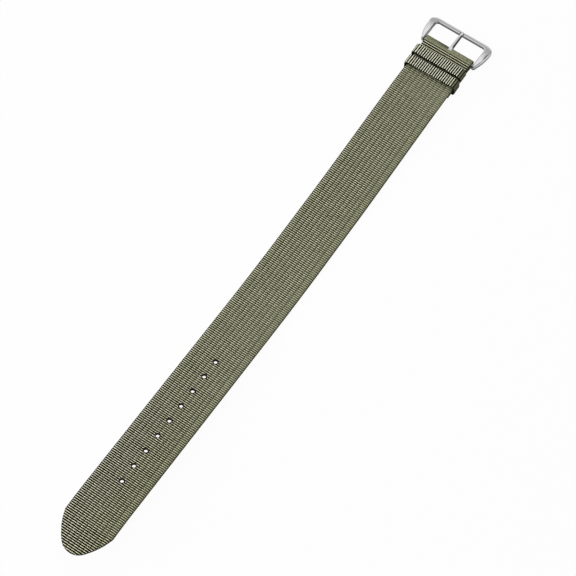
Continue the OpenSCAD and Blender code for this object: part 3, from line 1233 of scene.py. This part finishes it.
    def _plain_ribs(self) -> Mesh:
        """Weaves the long, unbroken ribs between the fold and the fixed keeper.

        Returns:
            The trimmed flat mesh.
        """
        whole = 2 * (self.path.lie.half_width - self.selvedge)
        return self._weave(
            {
                "Rows": int((self.plain_to - self.bare_to) / self.plain_pitch) + 1,
                "Pitch": self.plain_pitch,
                "First Row": self.path.at(self.bare_to + self.plain_pitch / 2),
                "Columns": 1,
                "Column Width": whole,
                "First Column": 0.0,
                "Float Width": whole,
                "Float Length": 0.9 * self.plain_pitch,
                "End Power": 200.0,
                "Slant": 0.0,
                "Cuts Across": 41,
                "Cuts Along": 5,
            }
        )

    def face(self, side: Side) -> Mesh:
        """Weaves one face of floats.

        Args:
            side: Which face.

        Returns:
            The flat mesh.
        """
        path = self.path
        end = path.length + self.pitch
        main = path.at(self.plain_to + 0.2)
        if side is Side.OUTER:
            parts = self._stretch(0.45, path.fold_start - 1.0, 3)
            parts += [self._plain_ribs(), *self._stretch(main, end, 5)]
        else:
            parts = self._stretch(path.at(12.0), end, 3)
        mesh = joined(parts)
        flat = points_of(mesh)
        flat[:, 2] = side.value * (self.ground_half + flat[:, 2])
        set_points(mesh, flat)
        if side is Side.INNER:
            mesh.flip_normals()
        return mesh

    def _trim(self, mesh: Mesh, size: int) -> None:
        """Cuts a flat face of floats to the outline, the holes and the slot.

        Args:
            mesh: The flat floats, changed in place.
            size: Points in one float.
        """
        tip = self.path.length
        points = points_of(mesh)
        flat = points.copy()
        whole = flat.reshape(-1, size, 3)
        middle = whole.mean(axis=1)
        gone = middle[:, 1] > tip
        gone |= np.abs(whole[:, :, 0]).min(axis=1) > self.half_width(middle[:, 1]) - 0.05
        inside_hole = np.zeros(len(points), bool)
        edge = self.rim_radius - 0.1
        for place in self.hole_places():
            near = np.hypot(flat[:, 0], flat[:, 1] - place)
            inside_hole |= near < edge
            push = np.where(near < edge, edge / np.maximum(near, 1e-3), 1)
            points[:, 0] *= push
            points[:, 1] = place + (points[:, 1] - place) * push
        start, end = self.slot_span()
        in_slot = (points[:, 1] > start) & (points[:, 1] < end) & (np.abs(points[:, 0]) < self.slot_half)
        points[in_slot, 0] = np.sign(points[in_slot, 0] + 1e-9) * self.slot_half
        limit = self.half_width(points[:, 1]) - 0.02
        over = (np.abs(points[:, 0]) > limit) & (points[:, 1] > tip - self.tip_length - 1)
        points[over, 0] = np.sign(points[over, 0]) * limit[over]
        points[:, 1] = np.minimum(points[:, 1], tip - 0.05)
        set_points(mesh, points)
        with edited(mesh) as bm:
            bm.verts.ensure_lookup_table()
            doomed = [bm.verts[i * size + k] for i in np.flatnonzero(gone) for k in range(size)]
            holed = [face for face in bm.faces if all(inside_hole[vert.index] for vert in face.verts)]
            bmesh.ops.delete(bm, geom=holed, context="FACES_ONLY")
            bmesh.ops.delete(bm, geom=[vert for vert in doomed if vert.is_valid], context="VERTS")
            bmesh.ops.delete(bm, geom=[vert for vert in bm.verts if not vert.link_faces], context="VERTS")
            bmesh.ops.dissolve_degenerate(bm, edges=bm.edges, dist=1e-4)

    def rims(self) -> Mesh:
        """Builds the melted rims of the punched holes, one lathe form for each hole.

        Returns:
            The flat mesh.
        """
        top = self.path.lie.thickness / 2
        inner, outer = self.hole_radius - 0.03, self.rim_radius
        upper = [(inner, top - 0.16), (inner + 0.06, top - 0.05), (0.84, top), (0.98, top - 0.03)]
        upper += [(outer - 0.06, top - 0.1), (outer, self.ground_half - 0.05)]
        profile = [(r, -z) for r, z in reversed(upper)] + upper
        rings = [[(r * math.cos(a), r * math.sin(a), z) for r, z in profile] for a in full_turn(24)]
        first, second, *_ = self.hole_places()
        values = {
            "Count": self.hole_count,
            "Start": (0.0, first, 0.0),
            "Step": (0.0, second - first, 0.0),
            "Turn Spread": 3.1,
            "Finish": self.melted,
        }
        return self.rows.run(values, sweep(np.array(rings), closed_path=True))

    def sealed_edge(self) -> Mesh:
        """Builds the bead of melted nylon that seals the cut tip.

        Returns:
            The flat mesh.
        """
        nose = self.tip_length * (1 - np.sin(np.linspace(0.06, math.pi / 2, 40)))
        along = self.path.length - nose - 0.001
        half = self.half_width(along)
        right = np.stack([half, along], axis=1)
        left = right[::-1][1:] * (-1, 1)
        line = np.concatenate([right if half[-1] > 0.03 else right[:-1], left])
        step = heading(line)
        section = rounded_section(0.3, 1.04, 0.14)
        rings = []
        for i, (place, normal) in enumerate(zip(line, np.stack([step[:, 1], -step[:, 0]], axis=1))):
            thick = 0.1 + 0.9 * min(1, i / 6, (len(line) - 1 - i) / 6)
            side = place + np.outer(thick * section[:, 0] - 0.08, normal)
            rings.append(np.stack([side[:, 0], side[:, 1], (0.8 + 0.2 * thick) * section[:, 1]], axis=1))
        return sweep(np.array(rings))

    def dress(
        self, name: str, flat: Mesh, finish: Material, marks: Any = None, node: str = ""
    ) -> Object:
        """Bends a flat mesh onto the band and finishes it.

        Args:
            name: The piece's name.
            flat: Its flat mesh.
            finish: Its material.
            marks: Gives the points' shares of what the finish knows by name.
            node: The CAD node that it replaces, if any.

        Returns:
            The piece's object.
        """
        return dressed(name, woven(flat, self.path.wrap, marks), finish, Body.BAND, node)

    def build(self) -> list[Object]:
        """Builds and dresses the whole webbing.

        Returns:
            Its pieces.
        """
        ground = self.ground()
        pieces = [self.dress("webbing_ground", ground, self.nylon, self._ground_marks, "strap_webbing")]
        for side in Side:
            name = f"webbing_{side.name.lower()}_floats"
            pieces.append(self.dress(name, self.face(side), self.nylon, self.marks))
        pieces.append(self.dress("hole_rims", self.rims(), self.melted))
        pieces.append(self.dress("sealed_tip_edge", self.sealed_edge(), self.melted))
        return pieces


# The keepers


@dataclass
class Keeper:
    """A closed loop of ribbed tape round the band."""

    name: str
    node: str
    body: Body
    back: float
    low: float
    inner_height: float
    tape: Material
    floats: FloatTree
    turn: float = 0.0
    width: float = 4.3
    thickness: float = 0.7
    inner_width: float = 20.4
    shoulder: float = 1.1
    crease: float = 0.2
    pitch: float = 0.9
    columns: int = 2
    float_height: float = 0.22
    lean: float = -0.035

    def __post_init__(self) -> None:
        """Works out the tape's middle line."""
        half = self.thickness / 2
        low = self.low + half
        high = low + self.thickness + self.inner_height
        side = self.inner_width / 2 + half
        self.path = LoopPath(side, low, high, self.shoulder + half, self.crease + half)

    def _marks(self, flat: np.ndarray) -> Marks:
        """Fades the painted rib highlights and shade to flat olive on the keeper's shoulders, which paints
        shade on the right shoulder, and fades the painted shade at the seam that runs along its middle.

        Args:
            flat: Flat points.

        Returns:
            soft, calm and tint.
        """
        x = self.path.wrap(flat)[:, 0]
        # Painted shade on the right shoulder, which turns to flat, darker olive; less fading on the left one
        soft = 0.9 * ease((x - 8.7) / 1.2) + 0.3 * ease((-9.7 - x) / 0.8)
        middle = 1 - ease((np.abs(flat[:, 0]) - 0.5) / 0.8)
        return {"soft": soft, "calm": 0.75 * middle, "tint": np.full(len(flat), 0.35)}

    def _wrap(self, flat: np.ndarray) -> np.ndarray:
        """Bends flat points onto the loop, and turns the loop in its place on the band.

        Args:
            flat: Flat points.

        Returns:
            The points in their real place.
        """
        x, y, z = self.path.wrap(flat).T
        turn = math.radians(self.turn)
        middle_y = BAR_Y - self.back - self.width / 2
        across, along = x * math.cos(turn) - y * math.sin(turn), x * math.sin(turn) + y * math.cos(turn)
        return np.stack([across, middle_y + along, z], axis=1)

    def ground(self) -> Mesh:
        """Builds the flat tape that the floats stand on.

        Returns:
            The flat mesh.
        """
        section = rounded_section(self.width - 0.06, self.thickness - 0.16, 0.24)
        stations = np.linspace(0, self.path.length, 240, endpoint=False)
        return sweep(np.array([ring(section, s) for s in stations]), closed_path=True)

    def face(self) -> Mesh:
        """Weaves the floats of the tape's outer face.

        Returns:
            The flat mesh.
        """
        rows = round(self.path.length / self.pitch)
        column = 0.9 * self.width / self.columns
        mesh = self.floats.run(
            {
                "Rows": rows,
                "Columns": self.columns,
                "Pitch": self.path.length / rows,
                "First Row": 0.2,
                "Column Width": column,
                "First Column": -(self.columns - 1) / 2 * column,
                "Float Length": 0.82 * self.pitch,
                "Float Width": 1.08 * column,
                "Float Height": self.float_height,
                "End Power": 14.0,
                "Slant": self.lean,
                "Stagger": 2 * self.lean / self.pitch,
                "Last Stagger": 2 * self.lean / self.pitch,
                "Unevenness": 0.03,
                "Cuts Across": 9,
                "Cuts Along": 7,
                "Finish": self.tape,
            }
        )
        set_points(mesh, points_of(mesh) + (0, 0, self.thickness / 2 - self.float_height + 0.04))
        return mesh

    def dress(self, part: str, flat: Mesh, marks: Any = None, node: str = "") -> Object:
        """Bends a flat mesh onto the loop and finishes it.

        Args:
            part: What the mesh is, for its name.
            flat: The flat mesh.
            marks: Gives the points' shares of what the finish knows by name.
            node: The CAD node that it replaces, if any.

        Returns:
            The piece's object.
        """
        mesh = woven(flat, self._wrap, marks)
        return dressed(f"{self.name}_{part}", mesh, self.tape, self.body, node)

    def build(self) -> list[Object]:
        """Builds and dresses the tape's ground and its floats."""
        ground = self.dress("ground", self.ground(), node=self.node)
        return [ground, self.dress("floats", self.face(), self._marks)]


# The stitching


@dataclass
class StitchRow:
    """A row of lock stitches across the band, seen from above and below."""

    name: str
    node: str
    back: float
    low: float
    high: float
    thread: Material
    rows: RowTree
    count: int = 7
    length: float = 2.3
    thread_radius: float = 0.12

    def stitch(self, level: float, way: int) -> Mesh:
        """Builds one bowed stitch.

        Args:
            level: Height of the face that it lies on.
            way: 1 for an upper face, -1 for a lower one.

        Returns:
            Its mesh.
        """
        t = np.linspace(0, 1, 15)
        bow = np.sin(math.pi * t) ** 0.35
        x = (t - 0.5) * self.length * 0.94
        z = level + way * (bow * 2 - 1.15) * self.thread_radius
        line = np.stack([x, 0.05 * np.sin(2 * math.pi * t), z], axis=1)
        across = np.array((0, 1, 0))
        ways = zip(line, np.cross(heading(line), across))
        radius, around = self.thread_radius, full_turn(8)
        rings = [[p + radius * (math.cos(a) * n + math.sin(a) * across) for a in around] for p, n in ways]
        return sweep(np.array(rings))

    def dress(self, mesh: Mesh) -> Object:
        """Finishes the row."""
        return dressed(self.name, mesh, self.thread, Body.BAND, self.node)

    def build(self) -> list[Object]:
        """Repeats a stitch on both sides of the band.

        Returns:
            The row, as a list of one piece.
        """
        values = {
            "Count": self.count,
            "Start": (-(self.count - 1) / 2 * self.length, BAR_Y - self.back, 0.0),
            "Step": (self.length, 0.0, 0.0),
            "Turn Spread": 0.03,
            "Finish": self.thread,
        }
        stitches = (self.stitch(self.high, 1), self.stitch(self.low, -1))
        return [self.dress(joined([self.rows.run(values, stitch) for stitch in stitches]))]


# The buckle


@dataclass
class BuckleFrame:
    """The arched steel frame: two ears, two widening arms and the outer bar."""

    steel: Material
    inner_half: float = 10.6
    reach: float = 10.7
    bar_depth: float = 1.9
    bar_thickness: float = 1.7
    arm_width: float = 1.3
    corner_width: float = 3.1
    corner_radius: float = 3.2
    window_radius: float = 1.2
    ear_radius: float = 1.25
    drop: float = 1.6
    arch: float = 0.75
    flank_radius: float = 3.2
    flank_blend: float = 0.22
    edge: float = 0.5
    bore_radius: float = 0.45
    bore_depth: float = 0.9
    notch_half: float = 0.8
    notch_depth: float = 0.4
    bar_shares: tuple[float, ...] = (
        0.85, 0.7, 0.55, 0.4, 0.28, 0.18, 0.1, 0.092, 0.086, 0.08, 0.076, 0.04,
    )

    def heights(self, y: np.ndarray, x: np.ndarray) -> tuple[np.ndarray, np.ndarray]:
        """Gives the frame's underside and upper side over the bar's axis.

        Args:
            y: Distances in front of the bar.
            x: Places across, which the tongue's notch depends on.

        Returns:
            Lower and upper heights.
        """
        ear = np.sqrt(np.clip(self.ear_radius**2 - y**2, 0.0004, None))
        top_r = (self.reach**2 + self.drop**2) / (2 * self.drop)
        high = self.ear_radius - top_r + np.sqrt(top_r**2 - np.clip(y, 0, None) ** 2)
        fall = self.drop + self.bar_thickness - 2 * self.ear_radius
        chord = math.hypot(self.reach, fall)
        arch_r = (chord**2 / 4 + self.arch**2) / (2 * self.arch)
        tilt = math.atan2(fall, self.reach)
        # Middle of the arch's circle, turned with the chord
        cx, cz = chord / 2, self.arch - arch_r
        my = cx * math.cos(tilt) + cz * math.sin(tilt)
        mz = -self.ear_radius - cx * math.sin(tilt) + cz * math.cos(tilt)
        low = mz + np.sqrt(np.clip(arch_r**2 - (y - my) ** 2, 0, None))
        low = np.where(y < 0.9, np.minimum(low, -ear), low)
        low = np.where(y < 0, -ear, low)
        high = np.where(y < 0, ear, high)
        notch = 1 - ease((np.abs(x) - self.notch_half) / 0.12)
        on_bar = y > self.reach - self.bar_depth - 0.3
        return low, high - self.notch_depth * notch * on_bar

    def _arm(self) -> list[tuple[Sequence[float], Sequence[float]]]:
        """Pairs points of the window's outline and the outer outline along the right ear and arm.

        Returns:
            Inner and outer points in plan.
        """
        corner_y = self.reach - self.corner_radius
        flank = self.inner_half + self.corner_width
        bow_in = self.corner_width - self.arm_width
        bow_r = (corner_y**2 + bow_in**2) / (2 * bow_in)
        inner_y = self.reach - self.bar_depth - self.window_radius
        pairs = []
        ends = -self.ear_radius * np.cos(np.linspace(math.radians(7), math.pi / 2, 14))
        for t in np.concatenate([ends / corner_y, np.linspace(0, 1, 26)[1:]]):
            y = t * corner_y
            out = flank - bow_r + math.sqrt(bow_r**2 - (max(y, 0) - corner_y) ** 2)
            if y < 0:
                ear = math.sqrt(self.ear_radius**2 - y * y)
                out = self.inner_half + self.arm_width - self.ear_radius + ear
            pairs.append(((self.inner_half, t * inner_y if t > 0 else y), (out, y)))
        return pairs

    def stations(self) -> np.ndarray:
        """Pairs points of the window's outline with points of the outer outline, ear to ear.

        Returns:
            Pairs of an inner and an outer point in plan.
        """
        inner_r, outer_r = self.window_radius, self.corner_radius
        inner_x, outer_x = self.inner_half - inner_r, self.inner_half + self.corner_width - outer_r
        window_y = self.reach - self.bar_depth
        half = self._arm()
        for a in np.radians(np.linspace(0, 90, 19))[1:]:
            c, s = math.cos(a), math.sin(a) - 1
            inner = (inner_x + inner_r * c, window_y + inner_r * s)
            half.append((inner, (outer_x + outer_r * c, self.reach + outer_r * s)))
        # Along the bar the stations lie closer together beside the notch
        for t in self.bar_shares:
            outer = (outer_x if t > 0.5 else inner_x) * t
            half.append(((inner_x * t, window_y), (outer, self.reach)))
        right = np.array(half)
        return np.concatenate([right, right[::-1] * (-1, 1)])

    def skin(self) -> Mesh:
        """Skins the frame, ear to ear.

        Returns:
            Its mesh in its real place, without the bores.
        """
        rings = []
        side_x = self.inner_half + self.corner_width - self.flank_radius
        for inner, outer in self.stations():
            width = float(np.linalg.norm(outer - inner))
            middle = (inner + outer) / 2
            low, high = self.heights(middle[1:], middle[:1])
            height = float(high[0] - low[0])
            section = rounded_section(width, height, self.edge, 6)
            u, v = section[:, 0] / width + 0.5, section[:, 1] / height + 0.5
            plan = inner + np.outer(u, outer - inner)
            low, high = self.heights(plan[:, 1], plan[:, 0])
            z = low + (high - low) * v
            limit = side_x + np.sqrt(np.clip(self.flank_radius**2 - (z + self.ear_radius) ** 2, 0, None))
            room = limit - np.abs(plan[:, 0])
            eased = limit - 0.5 * (room + np.sqrt(room**2 + self.flank_blend**2))
            plan[:, 0] = np.where(room < 4 * self.flank_blend, np.sign(plan[:, 0]) * eased, plan[:, 0])
            rings.append(np.stack([plan[:, 0], plan[:, 1] + BAR_Y, z + BAR_Z], axis=1))
        return sweep(np.array(rings))

    def dress(self, mesh: Mesh) -> Object:
        """Paints shade on the walls of the window and on the underside, and finishes the frame.

        Args:
            mesh: The bored frame.

        Returns:
            The piece's object.
        """
        points = points_of(mesh)
        x, y, z = np.abs(points[:, 0]), points[:, 1] - BAR_Y, points[:, 2] - BAR_Z
        low, high = self.heights(y, x)
        # Painted shade on the window's walls and the outer underside, for dark reflections of the shadowed
        # table
        in_window = (x < self.inner_half + 0.12) & (y < self.reach - self.bar_depth + 0.12)
        near_ear = 1 - ease((y - 3) / 4)
        under_shade = ease((low + 0.8 + 0.5 * near_ear - z) / 0.5) * (x > self.inner_half + 0.4)
        painted_shade = 0.906 * ease((high - z - 0.2) / 0.35) * in_window
        set_mark(mesh, "painted_shade", np.maximum(painted_shade, under_shade * (0.9 + 0.1 * near_ear)))
        sharpen(mesh, 40)
        return dressed("buckle_frame_steel", mesh, self.steel, Body.BUCKLE, "buckle_frame")

    def build(self) -> list[Object]:
        """Skins the frame, bores its ears and finishes it.

        Returns:
            The frame, as a list of one piece.
        """
        cutter = bpy.data.meshes.new("bores")
        extra = 1.0
        with edited(cutter) as bm:
            for way in (-1, 1):
                middle = way * (self.inner_half + (self.bore_depth - extra) / 2)
                turned = Matrix.Translation((middle, BAR_Y, BAR_Z)) @ Matrix.Rotation(math.pi / 2, 4, "Y")
                drill(bm, self.bore_radius, self.bore_depth + extra, turned)
        return [self.dress(carve(self.skin(), cutter))]


@dataclass
class Tongue:
    """The buckle's tongue: a strip rolled round the spring bar and drawn out to a blade."""

    steel: Material
    eye_inner: float = 0.8
    eye_wall: float = 0.54
    eye_width: float = 1.9
    root_width: float = 1.7
    tip_width: float = 1.3
    blade_top: float = 0.6
    blade_thickness: float = 1.0
    reach: float = 10.45
    top_fall: float = 0.55
    under_fall: float = 0.3
    edge: float = 0.48

    def blade_ring(self, y: float, squeeze: float) -> np.ndarray:
        """Gives the blade's section at one place.

        Args:
            y: Distance in front of the bar.
            squeeze: Share of the width and thickness that is left, for the rounded tip.

        Returns:
            The ring's points, about the bar's axis.
        """
        top_r = (self.reach**2 + self.top_fall**2) / (2 * self.top_fall)
        under_r = (self.reach**2 + self.under_fall**2) / (2 * self.under_fall)
        high = self.blade_top - top_r + math.sqrt(top_r**2 - y**2)
        low = self.blade_top - self.blade_thickness - under_r + math.sqrt(under_r**2 - y**2)
        drawn = min(1, y / (self.reach - self.tip_width / 2))
        width = (self.root_width + (self.tip_width - self.root_width) * drawn) * squeeze
        section = rounded_section(width, (high - low) * max(squeeze, 0.3), self.edge, 8)
        return ring(section + (0, low + 0.46 * (high - low)), y)

    def blade(self) -> Mesh:
        """Skins the blade and its rounded tip.

        Returns:
            Its mesh, about the bar's axis.
        """
        tip_r = self.tip_width / 2
        round_from = self.reach - tip_r
        rings = [self.blade_ring(y, 1.0) for y in np.linspace(1.02, round_from, 40)]
        tip = np.radians(np.linspace(10, 88, 10))
        rings += [self.blade_ring(round_from + tip_r * math.sin(a), math.cos(a)) for a in tip]
        return sweep(np.array(rings))

    def eye(self) -> Mesh:
        """Rolls the eye round the bar.

        Returns:
            Its mesh, about the bar's axis.
        """
        section = rounded_section(self.eye_width, self.eye_wall, 0.16)
        out = self.eye_inner + self.eye_wall / 2 + section[:, 1]
        coil = np.radians(np.linspace(-28, 318, 60))
        rings = [np.stack([section[:, 0], out * math.cos(a), out * math.sin(a)], axis=1) for a in coil]
        return sweep(np.array(rings))

    def dress(self, mesh: Mesh) -> Object:
        """Paints shade on the right of the blade's top and on its sides, and finishes the tongue.

        Args:
            mesh: The tongue about the bar's axis.

        Returns:
            The piece's object.
        """
        points = points_of(mesh)
        x, y = points[:, 0], points[:, 1]
        inside = 0.5 * np.interp(y, (0, self.reach), (self.root_width, self.tip_width)) - np.abs(x)
        # Painted shade on the right of the blade's top and on its sides
        strip = ease((inside - 0.08) / 0.1) * (x > 0)
        strip *= ease((y - 1.6) / 1.2) * ease((self.reach - 0.8 - y) / 1.5)
        set_mark(mesh, "painted_shade", np.maximum(strip, 0.7 * (inside < 0.04) * (y > 1.5)))
        set_points(mesh, points + (0, BAR_Y, BAR_Z))
        sharpen(mesh, 45)
        return dressed("buckle_tongue_steel", mesh, self.steel, Body.TONGUE, "buckle_tongue")

    def build(self) -> list[Object]:
        """Builds the tongue, as a list of one piece."""
        return [self.dress(joined([self.blade(), self.eye()]))]


@dataclass
class SpringBar:
    """The spring bar: turned pieces that keep their solids' own shape, and a spring wound in two halves."""

    steel: Material
    nodes: tuple[str, ...] = ("spring_bar_tube", "spring_bar_plunger_left", "spring_bar_plunger_right")
    spring: str = "spring_bar_spring"
    turns: int = 14
    wire: float = 0.16
    wire_sides: int = 8
    turn_steps: int = 16

    def _half_spring(self, side: int, plunger: Body) -> Object:
        """Winds one half of the spring, from its middle to a plunger.

        Args:
            side: -1 for the left half, 1 for the right one.
            plunger: The body of the plunger on its side, which names the half.

        Returns:
            The half.
        """
        low, high = (np.array(corner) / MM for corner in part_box(self.spring))
        radius = self.wire / 2
        middle, half = (low + high) / 2, (high - low) / 2 - radius
        share = np.linspace(0, 1, self.turns * self.turn_steps // 2 + 1)
        angle = math.pi * self.turns * (1 + side * share)
        x = side * half[0] * share
        rings = []
        for a in full_turn(self.wire_sides):
            r = half[1] + radius * math.cos(a)
            rings.append(np.stack([x + radius * math.sin(a), r * np.cos(angle), r * np.sin(angle)], axis=1))
        name = f"{self.spring}_{plunger.value.split('_')[1]}"
        wound = sweep(np.stack(rings, axis=1) + middle)
        piece = dressed(name, wound, self.steel, None, self.spring)
        end = middle + (side * half[0], 0.0, 0.0)
        tuple(end * MM)
        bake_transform(piece)
        return piece

    def dress(self, shown: dict[str, Object]) -> list[Object]:
        """Gives the carried-over nodes their finish.

        Args:
            shown: The frame's nodes by name.

        Returns:
            The dressed nodes.
        """
        kept = [shown[name] for name in self.nodes]
        for piece in kept:
            piece.data.materials.clear()
            piece.data.materials.append(self.steel)
        return kept

    def build(self, shown: dict[str, Object]) -> list[Object]:
        """Dresses the frame's own nodes and winds the spring's halves."""
        halves = [self._half_spring(-1, Body.PLUNGER_LEFT), self._half_spring(1, Body.PLUNGER_RIGHT)]
        return self.dress(shown) + halves


# The studio


@dataclass(frozen=True)
class Lamp:
    """A soft rectangular lamp."""

    name: str
    place: Spot
    size: tuple[float, float]
    power: float

    def hang(self) -> None:
        """Hangs the lamp, facing the frame's origin."""
        data = bpy.data.lights.new(self.name, "AREA")
        data.shape, data.energy = "RECTANGLE", self.power
        data.size, data.size_y = self.size
        lamp = placed(self.name, data)
        lamp.location = self.place
        lamp.visible_glossy = False
        back = np.array(self.place) / np.linalg.norm(self.place)
        right = np.cross((0.0, 0.0, 1.0), back)
        right /= np.linalg.norm(right)
        axes = np.stack([right, np.cross(back, right), back], axis=1)
        lamp.rotation_mode = "QUATERNION"
        lamp.rotation_quaternion = Matrix(axes.tolist()).to_quaternion()


@dataclass(frozen=True)
class Studio:
    """The camera at the photograph's angle, the white table and the lamps, in metres."""

    camera_place: Spot = (0.23044, -0.32573, 0.87626)
    camera_axes: tuple[Spot, Spot, Spot] = (
        (0.82772, 0.56113, -0.00422),
        (-0.50942, 0.75455, 0.41369),
        (0.23532, -0.34027, 0.91041),
    )
    lens: float = 168.22
    lamps: tuple[Lamp, ...] = (
        Lamp("key_softbox", (-0.8, -0.6, 0.5), (1.1, 0.9), 11.5),
        Lamp("top_softbox", (-0.3, 0.4, 1.1), (1.2, 1.2), 5.5),
    )
    table_half: float = 1.6
    table_low: float = -0.0001
    paper: float = 0.86
    ambient: float = 0.25
    lift: float = 0.96
    gloss_lift: float = 0.2
    depth_bands: Table = (
        (0.0, 0.25), (0.28, 0.3), (0.38, 1.0), (0.82, 1.0), (0.875, 0.45), (0.91, 0.42), (0.96, 0.9),
    )
    width_bands: Table = (
        (0.0, 0.6), (0.22, 0.85), (0.36, 1.0), (0.49, 1.0), (0.55, 0.1), (0.86, 0.06), (0.95, 0.9),
    )

    def _camera(self) -> None:
        """Sets up the camera."""
        data = bpy.data.cameras.new("photograph_view")
        data.lens, data.sensor_width, data.sensor_fit = self.lens, 36.0, "AUTO"
        data.clip_start, data.clip_end = 0.01, 20.0
        camera = placed("photograph_view", data)
        turned = Matrix(self.camera_axes).transposed().to_4x4()
        camera.matrix_world = Matrix.Translation(self.camera_place) @ turned
        bpy.context.scene.camera = camera

    def _seen(self, g: Graph, gloss: float) -> tuple[Value, Value]:
        """Gives which rays find white where they meet the table or the air.

        Args:
            g: The graph that asks.
            gloss: Share for rays that come from a mirror-like surface.

        Returns:
            The share for the rays that come straight or through glass, and for all of them.
        """
        ray = g.add("ShaderNodeLightPath").outputs
        kinds = ("Camera", "Transmission", "Glossy")
        camera, through, glossy = (Value(g, ray[f"Is {kind} Ray"]) for kind in kinds)
        clear = g.math("MAXIMUM", camera, through)
        return clear, g.math("MAXIMUM", clear, glossy * gloss)

    def _table(self) -> None:
        """Lays the white table, which keeps a soft shadow of the band."""
        material = bpy.data.materials.new("white_table")
        material.use_nodes = True
        g = Graph(material.node_tree)
        paper = g.out("ShaderNodeBsdfDiffuse", {"Color": (self.paper, self.paper, self.paper, 1.0)})
        glow = g.out("ShaderNodeEmission", {"Color": WHITE, "Strength": 1.0})
        share = self._seen(g, self.gloss_lift)[1] * self.lift
        g.add("ShaderNodeOutputMaterial", {0: g.out("ShaderNodeMixShader", {0: share, 1: paper, 2: glow})})
        half = self.table_half
        plan = ((-half, -half), (half, -half), (half, half), (-half, half))
        corners = [(x, y, self.table_low) for x, y in plan]
        mesh = bpy.data.meshes.new("white_table")
        mesh.from_pydata(corners, [], [(0, 1, 2, 3)])
        mesh.materials.append(material)
        placed("white_table", mesh)

    def _air(self) -> None:
        """Fills the room with even light, and with white where it is seen."""
        world = bpy.data.worlds.new("studio_air")
        world.use_nodes = True
        bpy.context.scene.world = world
        g = Graph(world.node_tree)
        room = g.out("ShaderNodeBackground", {"Color": WHITE, "Strength": self.ambient})
        # Metal mirrors a studio of white panels with grey gaps between them
        wide, deep, _ = g.split(g.out("ShaderNodeTexCoord", output="Generated"))
        panels = [
            g.ramp(place * 0.5 + 0.5, *((at, (grey, grey, grey, 1.0)) for at, grey in bands))
            for place, bands in ((deep, self.depth_bands), (wide, self.width_bands))
        ]
        clear, seen = self._seen(g, 1.0)
        strength = g.math("MAXIMUM", clear, panels[0] * panels[1])
        studio = g.out("ShaderNodeBackground", {"Color": WHITE, "Strength": strength})
        g.add("ShaderNodeOutputWorld", {0: g.out("ShaderNodeMixShader", {0: seen, 1: room, 2: studio})})

    def build(self) -> None:
        """Sets up everything round the object."""
        self._camera()
        self._table()
        self._air()
        for lamp in self.lamps:
            lamp.hang()
        bpy.context.scene.view_settings.view_transform = "Standard"


def main() -> None:
    """Builds the band's visual model piece by piece and reports it."""
    logging.basicConfig(level=logging.INFO, format="%(name)s: %(message)s")
    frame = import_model()
    looks = Finishes()
    floats, rows = FloatTree(), RowTree()
    tape, thread = looks.tape.material(), looks.thread.material()
    sewn = ("fixed_keeper_tape", "fixed_keeper", Body.BAND, 4.7, 2.33, 2.58, tape, floats)
    loose = ("sliding_keeper_tape", "sliding_keeper", Body.LOOSE_KEEPER, 9.35, 0.0, 4.2, tape, floats, 1.5)
    made = Webbing(BandPath(Lie()), looks.webbing.material(), looks.melted.material(), floats, rows).build()
    made += Keeper(*sewn).build() + Keeper(*loose).build()
    made += StitchRow("fixed_keeper_stitches", "fixed_keeper_seam", 6.85, 1.1, 4.26, thread, rows).build()
    made += StitchRow("tail_stitches", "tail_seam", 12.79, 1.1, 3.55, thread, rows).build()
    made += BuckleFrame(looks.buckle.material()).build()
    made += Tongue(looks.tongue.material()).build()
    made += SpringBar(looks.bar.material()).build(frame["nodes"])
    for piece in made:
        log.info("%s: %d faces", piece.name, len(piece.data.polygons))
    Studio().build()
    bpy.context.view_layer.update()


if __name__ == "__main__":
    main()
